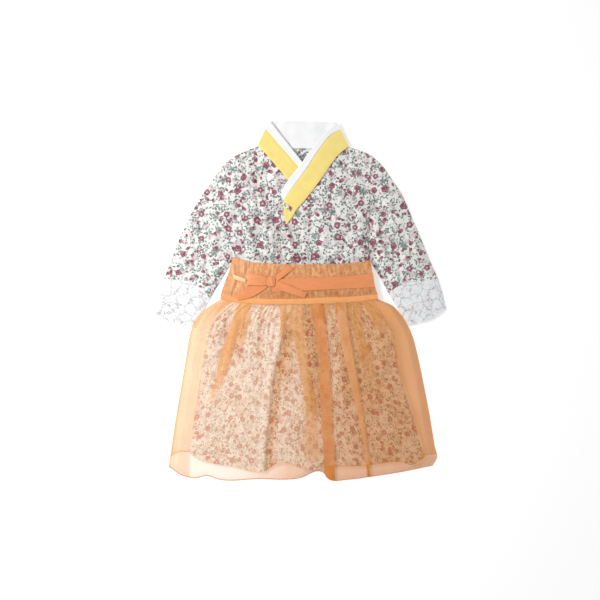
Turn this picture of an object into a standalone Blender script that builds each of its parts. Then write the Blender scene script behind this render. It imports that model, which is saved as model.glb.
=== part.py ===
"""Toddler's two-piece hanbok laid flat and face up, as the pieces that a maker sews.

All tables and sizes are in millimetres, and MM turns them into Blender's metres.
+Y runs from the hem to the collar, +X is the wearer's left, and z = 0 is the surface it lies on.
"""
import bmesh
import bpy
import numpy as np

MM = 0.001

# Cloth walls
COTTON = 1.2
SHEER = 1.0
PIPING = 2.0
SLEEVE_SLIT = 0.4
SLEEVE_PUFF = 1.9

# Clearances
SEAM_GAP = 0.6
LAYER_GAP = 0.4
FOLD_PITCH = SHEER + 0.3

# Heights of the undersides
FRONT_LEVEL = 1.8
COLLAR_LEVEL = 3.6
FACING_LEVEL = 1.6
WAISTBAND_BACK_LEVEL = 1.4
WAIST_LEVEL = 6.5
BELT_LEVEL = 8.1
TAIL_LEVEL = 8.9
BOW_LEVEL = 10.3
UNDERSKIRT_BACK_LEVEL = 1.7
UNDERSKIRT_LEVEL = 3.6
OVERSKIRT_EDGE = 1.6
OVERSKIRT_RISE = 5.3

# How far layers climb over what they cover
WAIST_LIFT = 3.0
WRAP_LIFT = 2.0
CROSSING_LIFT = 1.2
WAIST_DOME = 2.1
CUFF_LIFT = 3.4

# Plan edges of the top, as (x, y) points
ARMHOLE_RIGHT = ((-86, 239.5), (-82, 220), (-80, 190), (-80, 150), (-84, 112), (-94, 82), (-108, 63))
ARMHOLE_LEFT = ((116.5, 230), (114, 208), (113, 180), (112, 140), (110.5, 100), (110.5, 80), (112.5, 62))
SIDE_RIGHT = ((-112, 40), (-118, 13))
SIDE_LEFT = ((115.5, 38), (119, 13))
BACK_NECK = (
    (-86, 239.5), (-67, 246), (-40, 244.5), (0, 243), (40, 243.5), (78, 244.5), (100, 238), (116.5, 230),
)
WAIST_END = 13

SLEEVE_RIGHT = {
    "top": ARMHOLE_RIGHT,
    "bottom": ((-218, 33.3), (-196, 32.5), (-170, 26.9), (-155, 16), (-144, 2.5)),
    "left": ((-86, 239.5), (-113.6, 224.6), (-130, 207), (-144.5, 186.1), (-161, 162.2), (-177.6, 132.8),
             (-194.1, 96.2), (-206.1, 65), (-218, 33.3)),
    "right": ((-108, 63), (-139.7, 9.9), (-144, 2.5)),
}
SLEEVE_LEFT = {
    "top": ((112.5, 62), *ARMHOLE_LEFT[-2::-1]),
    "bottom": ((142.4, 8.2), (152, 19), (168, 26), (193.6, 31), (221.5, 33)),
    "left": ((112.5, 62), (131, 31), (142.4, 8.2)),
    "right": ((116.5, 230), (132.6, 213.9), (149, 190.5), (160, 174.7), (178, 135), (194.9, 95.7),
              (208, 63), (221.5, 33)),
}
CUFF_RIGHT = {
    "top": ((-218.4, 32.6), (-196, 31.8), (-170.3, 26.2), (-155.5, 15.4), (-144.6, 1.8)),
    "bottom": ((-233.9, -18.4), (-221.4, -29.9), (-200.2, -35.5), (-180, -42), (-168, -44.5)),
    "left": ((-218.4, 32.6), (-225.5, 10), (-233.9, -18.4)),
    "right": ((-144.6, 1.8), (-156, -21), (-168, -44.5)),
}
CUFF_LEFT = {
    "top": ((142.9, 7.5), (152.4, 18.3), (168.2, 25.3), (193.6, 30.3), (221.7, 32.3)),
    "bottom": ((172, -42), (190, -37), (207.4, -32.2), (222, -24), (233.9, -14)),
    "left": ((142.9, 7.5), (158, -17), (172, -42)),
    "right": ((221.7, 32.3), (228, 12), (233.9, -14)),
}
FRONT_RIGHT = {
    "top": ((-86, 239.5), (-68.5, 246.2), (-62.7, 251)),
    "bottom": ((-118, WAIST_END), (22, WAIST_END)),
    "left": (*ARMHOLE_RIGHT, *SIDE_RIGHT),
    "right": ((-62.7, 251), (-44, 230), (-13, 195), (5, 174), (20, 148), (22, 110), (22, WAIST_END)),
}
FRONT_LEFT = {
    "top": ((72, 249), (79.5, 244), (100, 238), (116.5, 230)),
    "bottom": ((-33, WAIST_END), (119, WAIST_END)),
    "left": ((72, 249), (56, 235.4), (46.1, 222.3), (23.4, 189.7), (0.5, 160.4), (-12, 150), (-27.8, 143),
             (-30.4, 119.7), (-31, 90), (-33, WAIST_END)),
    "right": (*ARMHOLE_LEFT, *SIDE_LEFT),
}
BACK = {
    "top": BACK_NECK,
    "bottom": ((-118, WAIST_END), (119, WAIST_END)),
    "left": (*ARMHOLE_RIGHT, *SIDE_RIGHT),
    "right": (*ARMHOLE_LEFT, *SIDE_LEFT),
}

# Collar pieces: the inner edge is the one beside the neck, and both run from the shoulder to the free end
COLLAR_RIGHT = {
    "inner": ((-55.2, 274.2), (-1.3, 212.3), (14, 194.7)),
    "outer": ((-67.2, 248.5), (-17.6, 191), (-1, 172)),
}
EDGING_RIGHT = {
    "inner": ((-48.6, 287.2), (3.5, 220.5), (19, 200.6)),
    "outer": ((-54.8, 274.6), (-0.9, 212.7), (14.4, 195.1)),
}
COLLAR_LEFT = {
    "inner": ((64.8, 272.4), (47.7, 262.9), (34.6, 246.6), (8.5, 207.4), (-14.4, 176.3), (-25.8, 160),
              (-25.6, 140.5), (-22.6, 123)),
    "outer": ((78, 245.6), (60.8, 231.8), (50.9, 218.7), (28.2, 186.1), (5.3, 156.8), (-6.2, 143.7),
              (-10.4, 135.7), (-20.5, 122)),
}
EDGING_LEFT = {
    "inner": ((59.2, 284.8), (18.2, 241.6), (3.5, 220.5), (-29.1, 173.1), (-30.7, 168.2), (-28.4, 160.6)),
    "outer": ((64.5, 273), (47.3, 263.5), (34.1, 247.1), (8, 207.9), (-14.9, 176.8), (-26.3, 160.5)),
}
COLLAR_BACK = {
    "top": ((-54.5, 273.6), (64, 272)),
    "bottom": ((-66, 247), (-40, 245.5), (0, 244), (40, 244.5), (76.5, 245.6)),
}
EDGING_BACK = {
    "top": ((-47.6, 286.4), (0, 287), (58.6, 284.6)),
    "bottom": ((-54.3, 274.4), (63.8, 272.8)),
}
NECK_FACING = {
    "top": ((-46, 286.2), (0, 286.8), (57.4, 284.4)),
    "bottom": ((-34, 243.6), (0, 243), (34, 243.4)),
}
CLOSING_TAB = {
    "top": ((-24.6, 155), (-12.6, 147.5)),
    "bottom": ((-26, 150), (-16, 141.5)),
}

# Waist pieces
WAISTBAND_FRONT = {
    "top": ((-107.5, 69.3), (-75.2, 60), (-50, 58.6), (48, 57.6), (90, 60), (113.4, 63.4)),
    "bottom": ((-126.5, 8.6), (-100, 5), (-75.7, 3.4), (35.2, 3.8), (90, 6), (124, 9)),
    "left": ((-107.5, 69.3), (-113.9, 44.5), (-120.5, 28), (-126.5, 8.6)),
    "right": ((113.4, 63.4), (116, 42), (119.4, 24), (124, 9)),
}
WAISTBAND_BACK = {
    "top": ((-106, 57), (0, 55), (110, 57)),
    "bottom": ((-126, 8.6), (-75.7, 3.4), (35.2, 3.8), (123.6, 9)),
    "left": ((-106, 57), (-116, 34), (-126, 8.6)),
    "right": ((110, 57), (116, 34), (123.6, 9)),
}
PIPING_BAND = {
    "top": ((-126.7, 8), (-100, 4.4), (-75.7, 2.8), (35.2, 3.2), (90, 5.4), (124.2, 8.4)),
    "bottom": ((-127, 2.4), (-100, -3), (-75.7, -5.2), (-16, -5.9), (35.2, -5.2), (90, -2), (125, 2)),
}
BELT_FRONT = {
    "top": ((-34, 33), (-16, 34.4), (35.2, 36.5), (75.2, 38.1), (116.6, 42.6)),
    "bottom": ((-34, 13), (10.6, 15.2), (53.4, 17.2), (119.8, 20.4)),
}
BELT_BACK = {
    "top": ((-111, 42), (0, 37), (115.6, 42)),
    "bottom": ((-117.5, 22), (0, 17), (119, 22)),
}
TIE_TAB = {
    "top": ((-107.4, 41.3), (-86.6, 33.4)),
    "bottom": ((-105.6, 33.6), (-87.4, 28.2)),
}

# Bow
KNOT = {"left": -52.8, "right": -39.2, "low": 20.5, "high": 38.4, "thick": 4.2}
LOOP = {"left": -84.2, "top": (42.2, 37.6), "bottom": (24.6, 24.2)}
TAIL_UPPER = {
    "top": ((-38.6, 37.8), (-23.2, 52.2), (-14.4, 53.8)),
    "bottom": ((-38.6, 30.4), (-19.2, 34.4), (-10.4, 46.2)),
}
TAIL_LOWER_LEFT = {
    "top": ((-104.6, 8.4), (-92, 15.4), (-75.2, 24), (-53.4, 29.6)),
    "bottom": ((-101, -0.6), (-80.4, 2.2), (-64, 12), (-53.4, 21.6)),
}
TAIL_LOWER_RIGHT = {
    "top": ((-38.6, 29.8), (-9.6, 21.6), (3.5, 15.6), (11.2, 13.4)),
    "bottom": ((-38.6, 21.4), (-24, 11.6), (-8.6, 6.4), (7.2, 3.4)),
}

# Skirts: rows run down from the waist seam, with the distance down and where each edge lies
SKIRT_COLUMNS = ("drop", "left", "right")
UNDERSKIRT_ROWS = (
    (0, -108, 108),
    (20, -132, 131),
    (48, -148, 149),
    (73, -152.6, 154.5),
    (121, -160, 163),
    (170, -167.5, 180),
    (209, -174, 191),
    (235, -179.7, 200),
)
UNDERSKIRT_TOP = ((-108, -5.6), (-75.7, -6.6), (-16, -7), (35.2, -6.4), (108, -2.6))
UNDERSKIRT_HEM = (
    (-179.7, -242), (-169.6, -251.5), (-138.2, -261.8), (-110.4, -265.9), (-81.6, -273.1), (-52.8, -273.1),
    (-40, -262.8), (-12.8, -263.2), (0, -269.1), (59.2, -266.4), (108.8, -264.8), (131.2, -261.6),
    (163.2, -259.8), (178.6, -263.8), (193.6, -256.3), (200, -251),
)
OVERSKIRT_COLUMNS = ("drop", "left", "right", "fold_1", "back_1", "fold_2", "back_2")
OVERSKIRT_ROWS = (
    (0, -125.5, 125.5, 16, 34, 57, 70),
    (11, -144, 149.5, 18, 36, 58, 71),
    (24, -160, 161.5, 20, 38, 60, 73),
    (38, -169.6, 170.5, 23, 40, 63, 76),
    (60, -176.8, 180.5, 26, 43, 66, 79),
    (86, -181.1, 187.5, 30, 46, 70, 83),
    (138, -189.8, 198.5, 32, 49, 80, 95),
    (188, -198.4, 208, 34, 51, 91, 103),
    (235, -205.4, 215.6, 37.5, 55, 102, 110),
    (256, -208.6, 219.3, 38.5, 56, 107, 113.5),
    (267, -210.4, 213, 38.5, 57, 109, 115),
)
OVERSKIRT_TOP = ((-125.5, 1.4), (-100, -3.8), (-75.7, -6), (-16, -6.7), (35.2, -6), (90, -2.8), (125.5, 1))
OVERSKIRT_HEM = (
    (-210.4, -266), (-188.8, -280.3), (-169.6, -284.6), (-147.2, -281.3), (-132.8, -286.1), (-67.2, -286.1),
    (0, -284.6), (33.3, -274), (38.2, -276.2), (44, -284.5), (81.6, -286.7), (111.7, -282.7),
    (163.2, -274.6), (213, -264.3),
)
OVERSKIRT_BACK_HEM = (
    (-206.5, -249.5), (-197, -244.5), (-181, -242.8), (-160, -246.5), (-120, -252), (-40, -255), (60, -256),
    (140, -254), (186, -249.5), (216.5, -246),
)
BACK_LENGTH = 0.925     # length of the back of the overskirt against its front
EDGE_RAMP = 0.034
HEM_RAMP = 0.034
MAIN_FOLD = ((-24, -29), (-33.6, -80), (-40, -167), (-48, -223), (-45, -266))
SOFT_FOLDS = (-118, -86, 6, 92, 134)
FOLD_WIDTH = 11.0
FOLD_DEPTH = 1.2
GATHER_COUNT = 10
GATHER_RISE = 1.4
GATHER_REACH = 0.45


def ease(amount):
    """Smooth step: 0 below 0, 1 above 1."""
    amount = np.clip(amount, 0.0, 1.0)
    return amount * amount * (3.0 - 2.0 * amount)


def along(points, part):
    """Points at the given parts, 0 to 1, of a polyline's length."""
    path = np.array(points, dtype=float)
    steps = np.hypot(*np.diff(path, axis=0).T)
    reach = np.concatenate([[0.0], np.cumsum(steps)]) / steps.sum()
    return np.stack([np.interp(part, reach, path[:, 0]), np.interp(part, reach, path[:, 1])], axis=-1)


def patch(sides, across, down):
    """Plan points that fill four edges, blended from all of them (a Coons patch)."""
    top = along(sides["top"], across)[None, :, :]
    bottom = along(sides["bottom"], across)[None, :, :]
    left_edge = sides.get("left", (sides["top"][0], sides["bottom"][0]))
    right_edge = sides.get("right", (sides["top"][-1], sides["bottom"][-1]))
    left = along(left_edge, down)[:, None, :]
    right = along(right_edge, down)[:, None, :]
    u = across[None, :, None]
    v = down[:, None, None]
    corners = ((1 - v) * ((1 - u) * top[:, :1] + u * top[:, -1:])
               + v * ((1 - u) * bottom[:, :1] + u * bottom[:, -1:]))
    return (1 - v) * top + v * bottom + (1 - u) * left + u * right - corners


def steps(count):
    """Even parts from 0 to 1."""
    return np.linspace(0.0, 1.0, count + 1)


def column(columns, rows, name, at):
    """A table's column read at the given drops."""
    data = np.array(rows, dtype=float)
    return np.interp(at, data[:, 0], data[:, columns.index(name)])


def waist_lift(x, y):
    """Rise of the top where it lies on the back waistband."""
    return WAIST_LIFT * ease((95.0 - y) / 30.0)


def wrap_lift(x, y):
    """Rise of the overlap across the underlap, and across the underlap's collar."""
    return (WRAP_LIFT + CROSSING_LIFT * ease((y - 90.0) / 60.0)) * ease((95.0 - x) / 71.0)


def waist_dome(x, y):
    """Rise of the waist pieces over both fronts."""
    return WAIST_DOME * ease((95.0 - x) / 71.0) * ease((x + 95.0) / 60.0)


def cuff_lift(x, y):
    """Rise of the skirts over the inner corners of the cuffs."""
    return CUFF_LIFT * ease((np.abs(x) - 100.0) / 48.0) * ease((y + 110.0) / 60.0)


def flat(x, y):
    """No rise."""
    return np.zeros_like(x)


def both(first, second):
    """Sum of two rises."""
    return lambda x, y: first(x, y) + second(x, y)


def material(name, colour, roughness=0.85):
    """Principled material with one colour."""
    found = bpy.data.materials.new(name)
    found.use_nodes = True
    shader = found.node_tree.nodes["Principled BSDF"]
    shader.inputs["Base Color"].default_value = (*colour, 1.0)
    shader.inputs["Roughness"].default_value = roughness
    shader.inputs["Metallic"].default_value = 0.0
    found.diffuse_color = (*colour, 1.0)
    return found


def add_object(name, points, faces, finish):
    """Closed mesh object from millimetre points, with its faces turned outwards."""
    mesh = bpy.data.meshes.new(name)
    mesh.from_pydata((points * MM).tolist(), [], faces)
    work = bmesh.new()
    work.from_mesh(mesh)
    bmesh.ops.recalc_face_normals(work, faces=work.faces)
    work.to_mesh(mesh)
    work.free()
    colour, roughness = FINISHES[finish]
    mesh.materials.append(material(name, colour, roughness))
    thing = bpy.data.objects.new(name, mesh)
    bpy.context.scene.collection.objects.link(thing)
    return thing


def slab(name, lower, upper, finish):
    """Solid between two grids of points, closed by walls along their four borders."""
    rows, columns = lower.shape[:2]
    index = np.arange(rows * columns).reshape(rows, columns)
    low = np.stack([index[:-1, :-1], index[:-1, 1:], index[1:, 1:], index[1:, :-1]], axis=-1).reshape(-1, 4)
    high = low[:, ::-1] + rows * columns
    rim = np.concatenate([index[0, :-1], index[:-1, -1], index[-1, :0:-1], index[:0:-1, 0]])
    turn = np.roll(rim, -1)
    walls = np.stack([rim, rim + rows * columns, turn + rows * columns, turn], axis=-1)
    faces = np.concatenate([low, high, walls]).tolist()
    points = np.concatenate([lower.reshape(-1, 3), upper.reshape(-1, 3)])
    return add_object(name, points, faces, finish)


def panel(name, plan, level, thick, finish, rise=flat):
    """Panel of even thickness, laid at its level and carried over what lies below it."""
    x = plan[..., 0]
    y = plan[..., 1]
    low = level + rise(x, y)
    return slab(name, np.stack([x, y, low], axis=-1), np.stack([x, y, low + thick], axis=-1), finish)


def tube(name, sides, puffs, columns, rows, shift, finish):
    """Flattened sleeve or cuff: a loop of cloth with a thin slit inside, open at both ends."""
    down = steps(rows)
    plan = patch(sides, steps(columns), down)
    plan[..., 0] += shift
    width = np.hypot(*np.moveaxis(plan[:, -1] - plan[:, 0], -1, 0))[:, None, None]
    inset = 1.8 / width
    middle = 0.5 * (plan[:, :1] + plan[:, -1:])
    inner_plan = middle + (plan - middle) * (1 - 2 * inset)
    thick = 2 * COTTON + SLEEVE_SLIT
    u = steps(columns)[None, :]
    puff = (puffs[0] + (puffs[1] - puffs[0]) * ease(down / 0.4))[:, None] * (1 - (2 * u - 1) ** 2)

    def ring(low, high, ends):
        """Loop of points: along the underside, round one edge, back along the top, round the other."""
        under = np.concatenate([inner_plan, np.broadcast_to(low, u.shape)[..., None]
                                + np.zeros((rows + 1, columns + 1, 1))], axis=-1)
        over = np.concatenate([inner_plan, (high + puff)[..., None]], axis=-1)
        right = plan[:, -1:] + (plan[:, :1] - plan[:, -1:]) * ends / width
        left = plan[:, :1] + (plan[:, -1:] - plan[:, :1]) * ends / width
        level = np.full((rows + 1, 1, 1), thick / 2)
        return np.concatenate([under, np.concatenate([right, level], axis=-1), over[:, ::-1],
                               np.concatenate([left, level], axis=-1)], axis=1)

    outer = ring(0.0, thick, 0.0)
    inner = ring(COTTON, thick - COTTON, 1.6)
    count = outer.shape[1]
    index = np.arange((rows + 1) * count).reshape(rows + 1, count)
    turn = np.roll(index, -1, axis=1)
    skin = np.stack([index[:-1], index[1:], turn[1:], turn[:-1]], axis=-1).reshape(-1, 4)
    lining = skin[:, ::-1] + index.size
    mouths = [np.stack([index[row], turn[row], turn[row] + index.size, index[row] + index.size], axis=-1)
              for row in (0, rows)]
    mouths[1] = mouths[1][:, ::-1]
    faces = np.concatenate([skin, lining, *mouths]).tolist()
    points = np.concatenate([outer.reshape(-1, 3), inner.reshape(-1, 3)])
    return add_object(name, points, faces, finish)


def strip(name, sides, level, thick, columns, finish, rise=flat):
    """Collar strip, ruled between its inner and outer edges."""
    at = steps(columns)
    plan = np.stack([along(sides["inner"], at), along(sides["outer"], at)], axis=1)
    return panel(name, plan, level, thick, finish, rise)


def skirt_plan(columns, rows_table, top, hem, across, down, length=1.0):
    """Plan points of a flared panel, from parts across (a grid) and parts down its share of the length."""
    drop = down * length * rows_table[-1][0]
    left = column(columns, rows_table, "left", drop)[:, None]
    right = column(columns, rows_table, "right", drop)[:, None]
    x = left + (right - left) * across
    top = np.array(top, dtype=float)
    hem = np.array(hem, dtype=float)
    top_part = (top[:, 0] - top[0, 0]) / np.ptp(top[:, 0])
    hem_part = (hem[:, 0] - hem[0, 0]) / np.ptp(hem[:, 0])
    high = np.interp(across, top_part, top[:, 1])
    low = np.interp(across, hem_part, hem[:, 1])
    return np.stack([x, high + (low - high) * down[:, None]], axis=-1)


def soft_folds(x, y):
    """Troughs of the underskirt: one long slanting one and a few soft ones, none at the hem's corners."""
    path = np.array(MAIN_FOLD[::-1], dtype=float)
    centre = np.interp(y, path[:, 1], path[:, 0])
    depth = np.exp(-((x - centre) / FOLD_WIDTH) ** 2)
    for start in SOFT_FOLDS:
        middle = start * (1.0 - y / 600.0)
        depth = np.maximum(depth, 0.7 * np.exp(-((x - middle) / FOLD_WIDTH) ** 2))
    return -FOLD_DEPTH * depth


def gathers(across, down):
    """Soft ridges of the organza below the waist seam, which die out down the skirt."""
    ridge = 0.5 - 0.5 * np.cos(2 * np.pi * GATHER_COUNT * across)
    return GATHER_RISE * ridge * (1.0 - ease(down / GATHER_REACH))[:, None]


def underskirt_front():
    """Front of the floral skirt."""
    columns = 26
    down = steps(10)
    across = np.broadcast_to(steps(columns), (down.size, columns + 1))
    plan = skirt_plan(SKIRT_COLUMNS, UNDERSKIRT_ROWS, UNDERSKIRT_TOP, UNDERSKIRT_HEM, across, down)
    rise = both(cuff_lift, soft_folds)
    panel("underskirt_front", plan, UNDERSKIRT_LEVEL + FOLD_DEPTH, COTTON, "print_skirt", rise)


def underskirt_back():
    """Back of the floral skirt."""
    down = steps(8)
    across = np.broadcast_to(steps(14), (down.size, 15))
    plan = skirt_plan(SKIRT_COLUMNS, UNDERSKIRT_ROWS, UNDERSKIRT_TOP, UNDERSKIRT_HEM, across, down)
    panel("underskirt_back", plan, UNDERSKIRT_BACK_LEVEL, COTTON, "print_skirt", cuff_lift)


def overskirt_back():
    """Back of the organza skirt."""
    down = np.concatenate([[0.0, 0.04, 0.09, 0.15, 0.22, 0.32], np.linspace(0.42, 1.0, 7)])
    across = np.broadcast_to(steps(16), (down.size, 17))
    plan = skirt_plan(OVERSKIRT_COLUMNS, OVERSKIRT_ROWS, OVERSKIRT_TOP, OVERSKIRT_BACK_HEM, across, down,
                      BACK_LENGTH)
    panel("overskirt_back", plan, 0.0, SHEER, "organza", cuff_lift)


def pleated_path(down):
    """Parts across and layers of the pleated front: each pleat doubles back once under its fold."""
    drop = down * OVERSKIRT_ROWS[-1][0]
    left = column(OVERSKIRT_COLUMNS, OVERSKIRT_ROWS, "left", drop)
    right = column(OVERSKIRT_COLUMNS, OVERSKIRT_ROWS, "right", drop)

    def place(name, offset=0.0):
        """Parts across of a table's column, moved sideways by an offset."""
        return (column(OVERSKIRT_COLUMNS, OVERSKIRT_ROWS, name, drop) + offset - left) / (right - left)

    turn = FOLD_PITCH / 2
    path = []

    def run(start, end, count):
        """Plain stretch between two places."""
        for part in np.linspace(0.0, 1.0, count):
            path.append((start + (end - start) * part, 0.0))

    zero = np.zeros_like(drop)
    run(zero, zero + EDGE_RAMP, 4)
    run(zero + 0.1, place("fold_1", -6.0), 11)
    for number, tail in (("1", 2), ("2", 7)):
        fold = "fold_" + number
        back = "back_" + number
        path.append((place(back, -turn), 0.0))
        path.append((place(back), 0.5))
        path.append((place(back, -turn), 1.0))
        path.append((place(fold, turn), 1.0))
        path.append((place(fold), 1.5))
        path.append((place(fold, turn), 2.0))
        path.append((place(back, 1.5), 2.0))
        if number == "1":
            run(place(back, 9.0), place("fold_2", -5.0), tail)
        else:
            run(place(back, 9.0), zero + 0.9, tail)
    run(zero + 1.0 - EDGE_RAMP, zero + 1.0, 4)
    across = np.stack([np.broadcast_to(place_across, drop.shape) for place_across, _ in path], axis=1)
    layers = np.array([layer for _, layer in path])
    return across, layers


def overskirt_front():
    """Front of the organza skirt, with its two folded pleats."""
    upper_rows = [0.0, 0.04, 0.09, 0.15, 0.22]
    down = np.concatenate([upper_rows, np.linspace(0.32, 1.0 - HEM_RAMP, 7), [0.983, 1.0]])
    across, layers = pleated_path(down)
    plan = skirt_plan(OVERSKIRT_COLUMNS, OVERSKIRT_ROWS, OVERSKIRT_TOP, OVERSKIRT_HEM, across, down)
    x = plan[..., 0]
    y = plan[..., 1]
    inside = ease(across / EDGE_RAMP) * ease((1.0 - across) / EDGE_RAMP)
    side = inside * ease((1.0 - down) / HEM_RAMP)[:, None]
    swell = waist_dome(x, y) * ease((y + 70.0) / 70.0)
    height = OVERSKIRT_EDGE + (OVERSKIRT_RISE + gathers(across, down)) * side + cuff_lift(x, y) + swell
    middle = np.stack([x, height + SHEER / 2 + FOLD_PITCH * layers], axis=-1)
    leg = np.diff(middle, axis=1)
    leg /= np.linalg.norm(leg, axis=-1, keepdims=True)
    before = np.concatenate([leg[:, :1], leg], axis=1)
    after = np.concatenate([leg, leg[:, -1:]], axis=1)
    bisector = before + after
    bisector /= np.linalg.norm(bisector, axis=-1, keepdims=True)
    normal = np.stack([-bisector[..., 1], bisector[..., 0]], axis=-1)
    cosine = np.clip((bisector * after).sum(axis=-1, keepdims=True), 0.6, 1.0)
    offset = normal * (SHEER / 2) / cosine
    surfaces = []
    for sign in (-1.0, 1.0):
        moved = middle + sign * offset
        surfaces.append(np.stack([moved[..., 0], y, moved[..., 1]], axis=-1))
    slab("overskirt_front", surfaces[0], surfaces[1], "organza")


def top_panels():
    """Back, underlap and overlap of the top."""
    trim = np.array([SEAM_GAP / 2, 0.0])

    def shrunk(sides, columns, rows):
        """Plan of a panel drawn in a little from both armholes."""
        plan = patch(sides, steps(columns), steps(rows))
        return plan + trim * (1 - 2 * steps(columns))[None, :, None]

    panel("back_panel", shrunk(BACK, 10, 14), 0.0, COTTON, "print_top", waist_lift)
    panel("front_right", shrunk(FRONT_RIGHT, 7, 14), FRONT_LEVEL, COTTON, "print_top", waist_lift)
    overlap_rise = both(waist_lift, wrap_lift)
    panel("front_left", shrunk(FRONT_LEFT, 9, 16), FRONT_LEVEL, COTTON, "print_top", overlap_rise)


def sleeves():
    """Both sleeves and their lace cuffs."""
    gap = SEAM_GAP / 2
    tube("sleeve_right", SLEEVE_RIGHT, (0.2, SLEEVE_PUFF), 8, 9, -gap, "print_top")
    tube("sleeve_left", SLEEVE_LEFT, (0.2, SLEEVE_PUFF), 8, 9, gap, "print_top")
    tube("cuff_right", CUFF_RIGHT, (SLEEVE_PUFF, 0.9), 8, 3, 0.0, "lace")
    tube("cuff_left", CUFF_LEFT, (SLEEVE_PUFF, 0.9), 8, 3, 0.0, "lace")


def collar():
    """Yellow collar bands, white edging, back neck facing and the closing tab."""
    panel("collar_back", patch(COLLAR_BACK, steps(8), steps(1)), 0.0, COTTON, "yellow")
    panel("edging_back", patch(EDGING_BACK, steps(8), steps(1)), 0.0, COTTON, "white")
    panel("neck_facing", patch(NECK_FACING, steps(8), steps(2)), FACING_LEVEL, COTTON, "white")
    strip("collar_right", COLLAR_RIGHT, COLLAR_LEVEL, COTTON, 8, "yellow")
    strip("edging_right", EDGING_RIGHT, COLLAR_LEVEL, COTTON, 8, "white")
    strip("collar_left", COLLAR_LEFT, COLLAR_LEVEL, COTTON, 18, "yellow", wrap_lift)
    strip("edging_left", EDGING_LEFT, COLLAR_LEVEL, COTTON, 16, "white", wrap_lift)
    tab_level = COLLAR_LEVEL + COTTON + LAYER_GAP
    panel("closing_tab", patch(CLOSING_TAB, steps(2), steps(2)), tab_level, COTTON, "print_top", wrap_lift)


def waist():
    """Waistband, piping, belt ribbon and the tab beside the bow."""
    panel("waistband_back", patch(WAISTBAND_BACK, steps(8), steps(2)), WAISTBAND_BACK_LEVEL, COTTON,
          "organza_waist")
    panel("waistband_front", patch(WAISTBAND_FRONT, steps(22), steps(3)), WAIST_LEVEL, COTTON,
          "organza_waist", waist_dome)
    panel("piping_back", patch(PIPING_BAND, steps(12), steps(1)), 0.0, PIPING, "piping")
    piping_plan = patch(PIPING_BAND, steps(22), steps(2))
    panel("piping_front", piping_plan, WAIST_LEVEL, PIPING, "piping", waist_dome)
    panel("belt_front", patch(BELT_FRONT, steps(14), steps(1)), BELT_LEVEL, SHEER, "ribbon", waist_dome)
    panel("belt_back", patch(BELT_BACK, steps(8), steps(1)), 0.0, SHEER, "ribbon")
    panel("tie_tab", patch(TIE_TAB, steps(3), steps(1)), BELT_LEVEL, SHEER, "tab", waist_dome)


def bow_loop():
    """Left loop of the bow: a ribbon run out from the knot, turned over and run back above itself."""
    reach = np.linspace(0.0, 1.0, 6)
    out = KNOT["left"] - 0.6 + (LOOP["left"] - KNOT["left"] + 0.6) * reach
    turn = FOLD_PITCH / 2
    x = np.concatenate([out[:-1], [LOOP["left"] + turn, LOOP["left"], LOOP["left"] + turn], out[-2::-1]])
    puff = 1.6 * np.sin(np.pi * reach[:-1]) ** 0.5
    low = np.zeros(reach.size - 1)
    z = np.concatenate([low, [0.0, turn, FOLD_PITCH], (FOLD_PITCH + puff)[::-1]])
    share = (x - KNOT["left"]) / (LOOP["left"] - KNOT["left"])
    high = LOOP["top"][1] + (LOOP["top"][0] - LOOP["top"][1]) * share
    base = LOOP["bottom"][1] + (LOOP["bottom"][0] - LOOP["bottom"][1]) * share
    middle = np.stack([x, z + BOW_LEVEL + SHEER / 2 + waist_dome(x, base)], axis=-1)
    leg = np.diff(middle, axis=0)
    leg /= np.linalg.norm(leg, axis=-1, keepdims=True)
    before = np.concatenate([leg[:1], leg])
    after = np.concatenate([leg, leg[-1:]])
    bisector = before + after
    bisector /= np.linalg.norm(bisector, axis=-1, keepdims=True)
    normal = np.stack([-bisector[:, 1], bisector[:, 0]], axis=-1)
    cosine = np.clip((bisector * after).sum(axis=-1, keepdims=True), 0.6, 1.0)
    surfaces = []
    for sign in (-1.0, 1.0):
        moved = middle + sign * normal * (SHEER / 2) / cosine
        surfaces.append(np.stack([np.stack([moved[:, 0], y, moved[:, 1]], axis=-1) for y in (base, high)]))
    slab("bow_loop", surfaces[0], surfaces[1], "ribbon")


def bow_knot():
    """Knot of the bow: a soft cushion of ribbon."""
    across = np.linspace(-1.0, 1.0, 7)
    down = np.linspace(1.0, -1.0, 7)
    u, v = np.meshgrid(across, down)
    corner = 1.0 - 0.12 * (u ** 2) * (v ** 2)
    x = 0.5 * (KNOT["left"] + KNOT["right"]) + 0.5 * (KNOT["right"] - KNOT["left"]) * u * corner
    y = 0.5 * (KNOT["low"] + KNOT["high"]) + 0.5 * (KNOT["high"] - KNOT["low"]) * v * corner
    base = BOW_LEVEL + waist_dome(x, y)
    crown = 1.2 + (KNOT["thick"] - 1.2) * np.sqrt(np.clip((1 - u ** 4) * (1 - v ** 4), 0.0, 1.0))
    slab("bow_knot", np.stack([x, y, base], axis=-1), np.stack([x, y, base + crown], axis=-1), "ribbon")


def bow():
    """Loop, knot and three tails of the tied ribbon."""
    bow_loop()
    bow_knot()
    for name, sides, level in (("tail_upper", TAIL_UPPER, BOW_LEVEL),
                               ("tail_lower_left", TAIL_LOWER_LEFT, TAIL_LEVEL),
                               ("tail_lower_right", TAIL_LOWER_RIGHT, BOW_LEVEL)):
        panel(name, patch(sides, steps(8), steps(2)), level, SHEER, "ribbon", waist_dome)


def centre_on_origin():
    """Move every mesh so that the whole set is centred over the origin."""
    meshes = [thing.data for thing in bpy.context.scene.objects]
    points = np.array([tuple(vertex.co) for mesh in meshes for vertex in mesh.vertices])
    middle = 0.5 * (points.min(axis=0) + points.max(axis=0))
    for mesh in meshes:
        for vertex in mesh.vertices:
            vertex.co.x -= middle[0]
            vertex.co.y -= middle[1]


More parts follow.
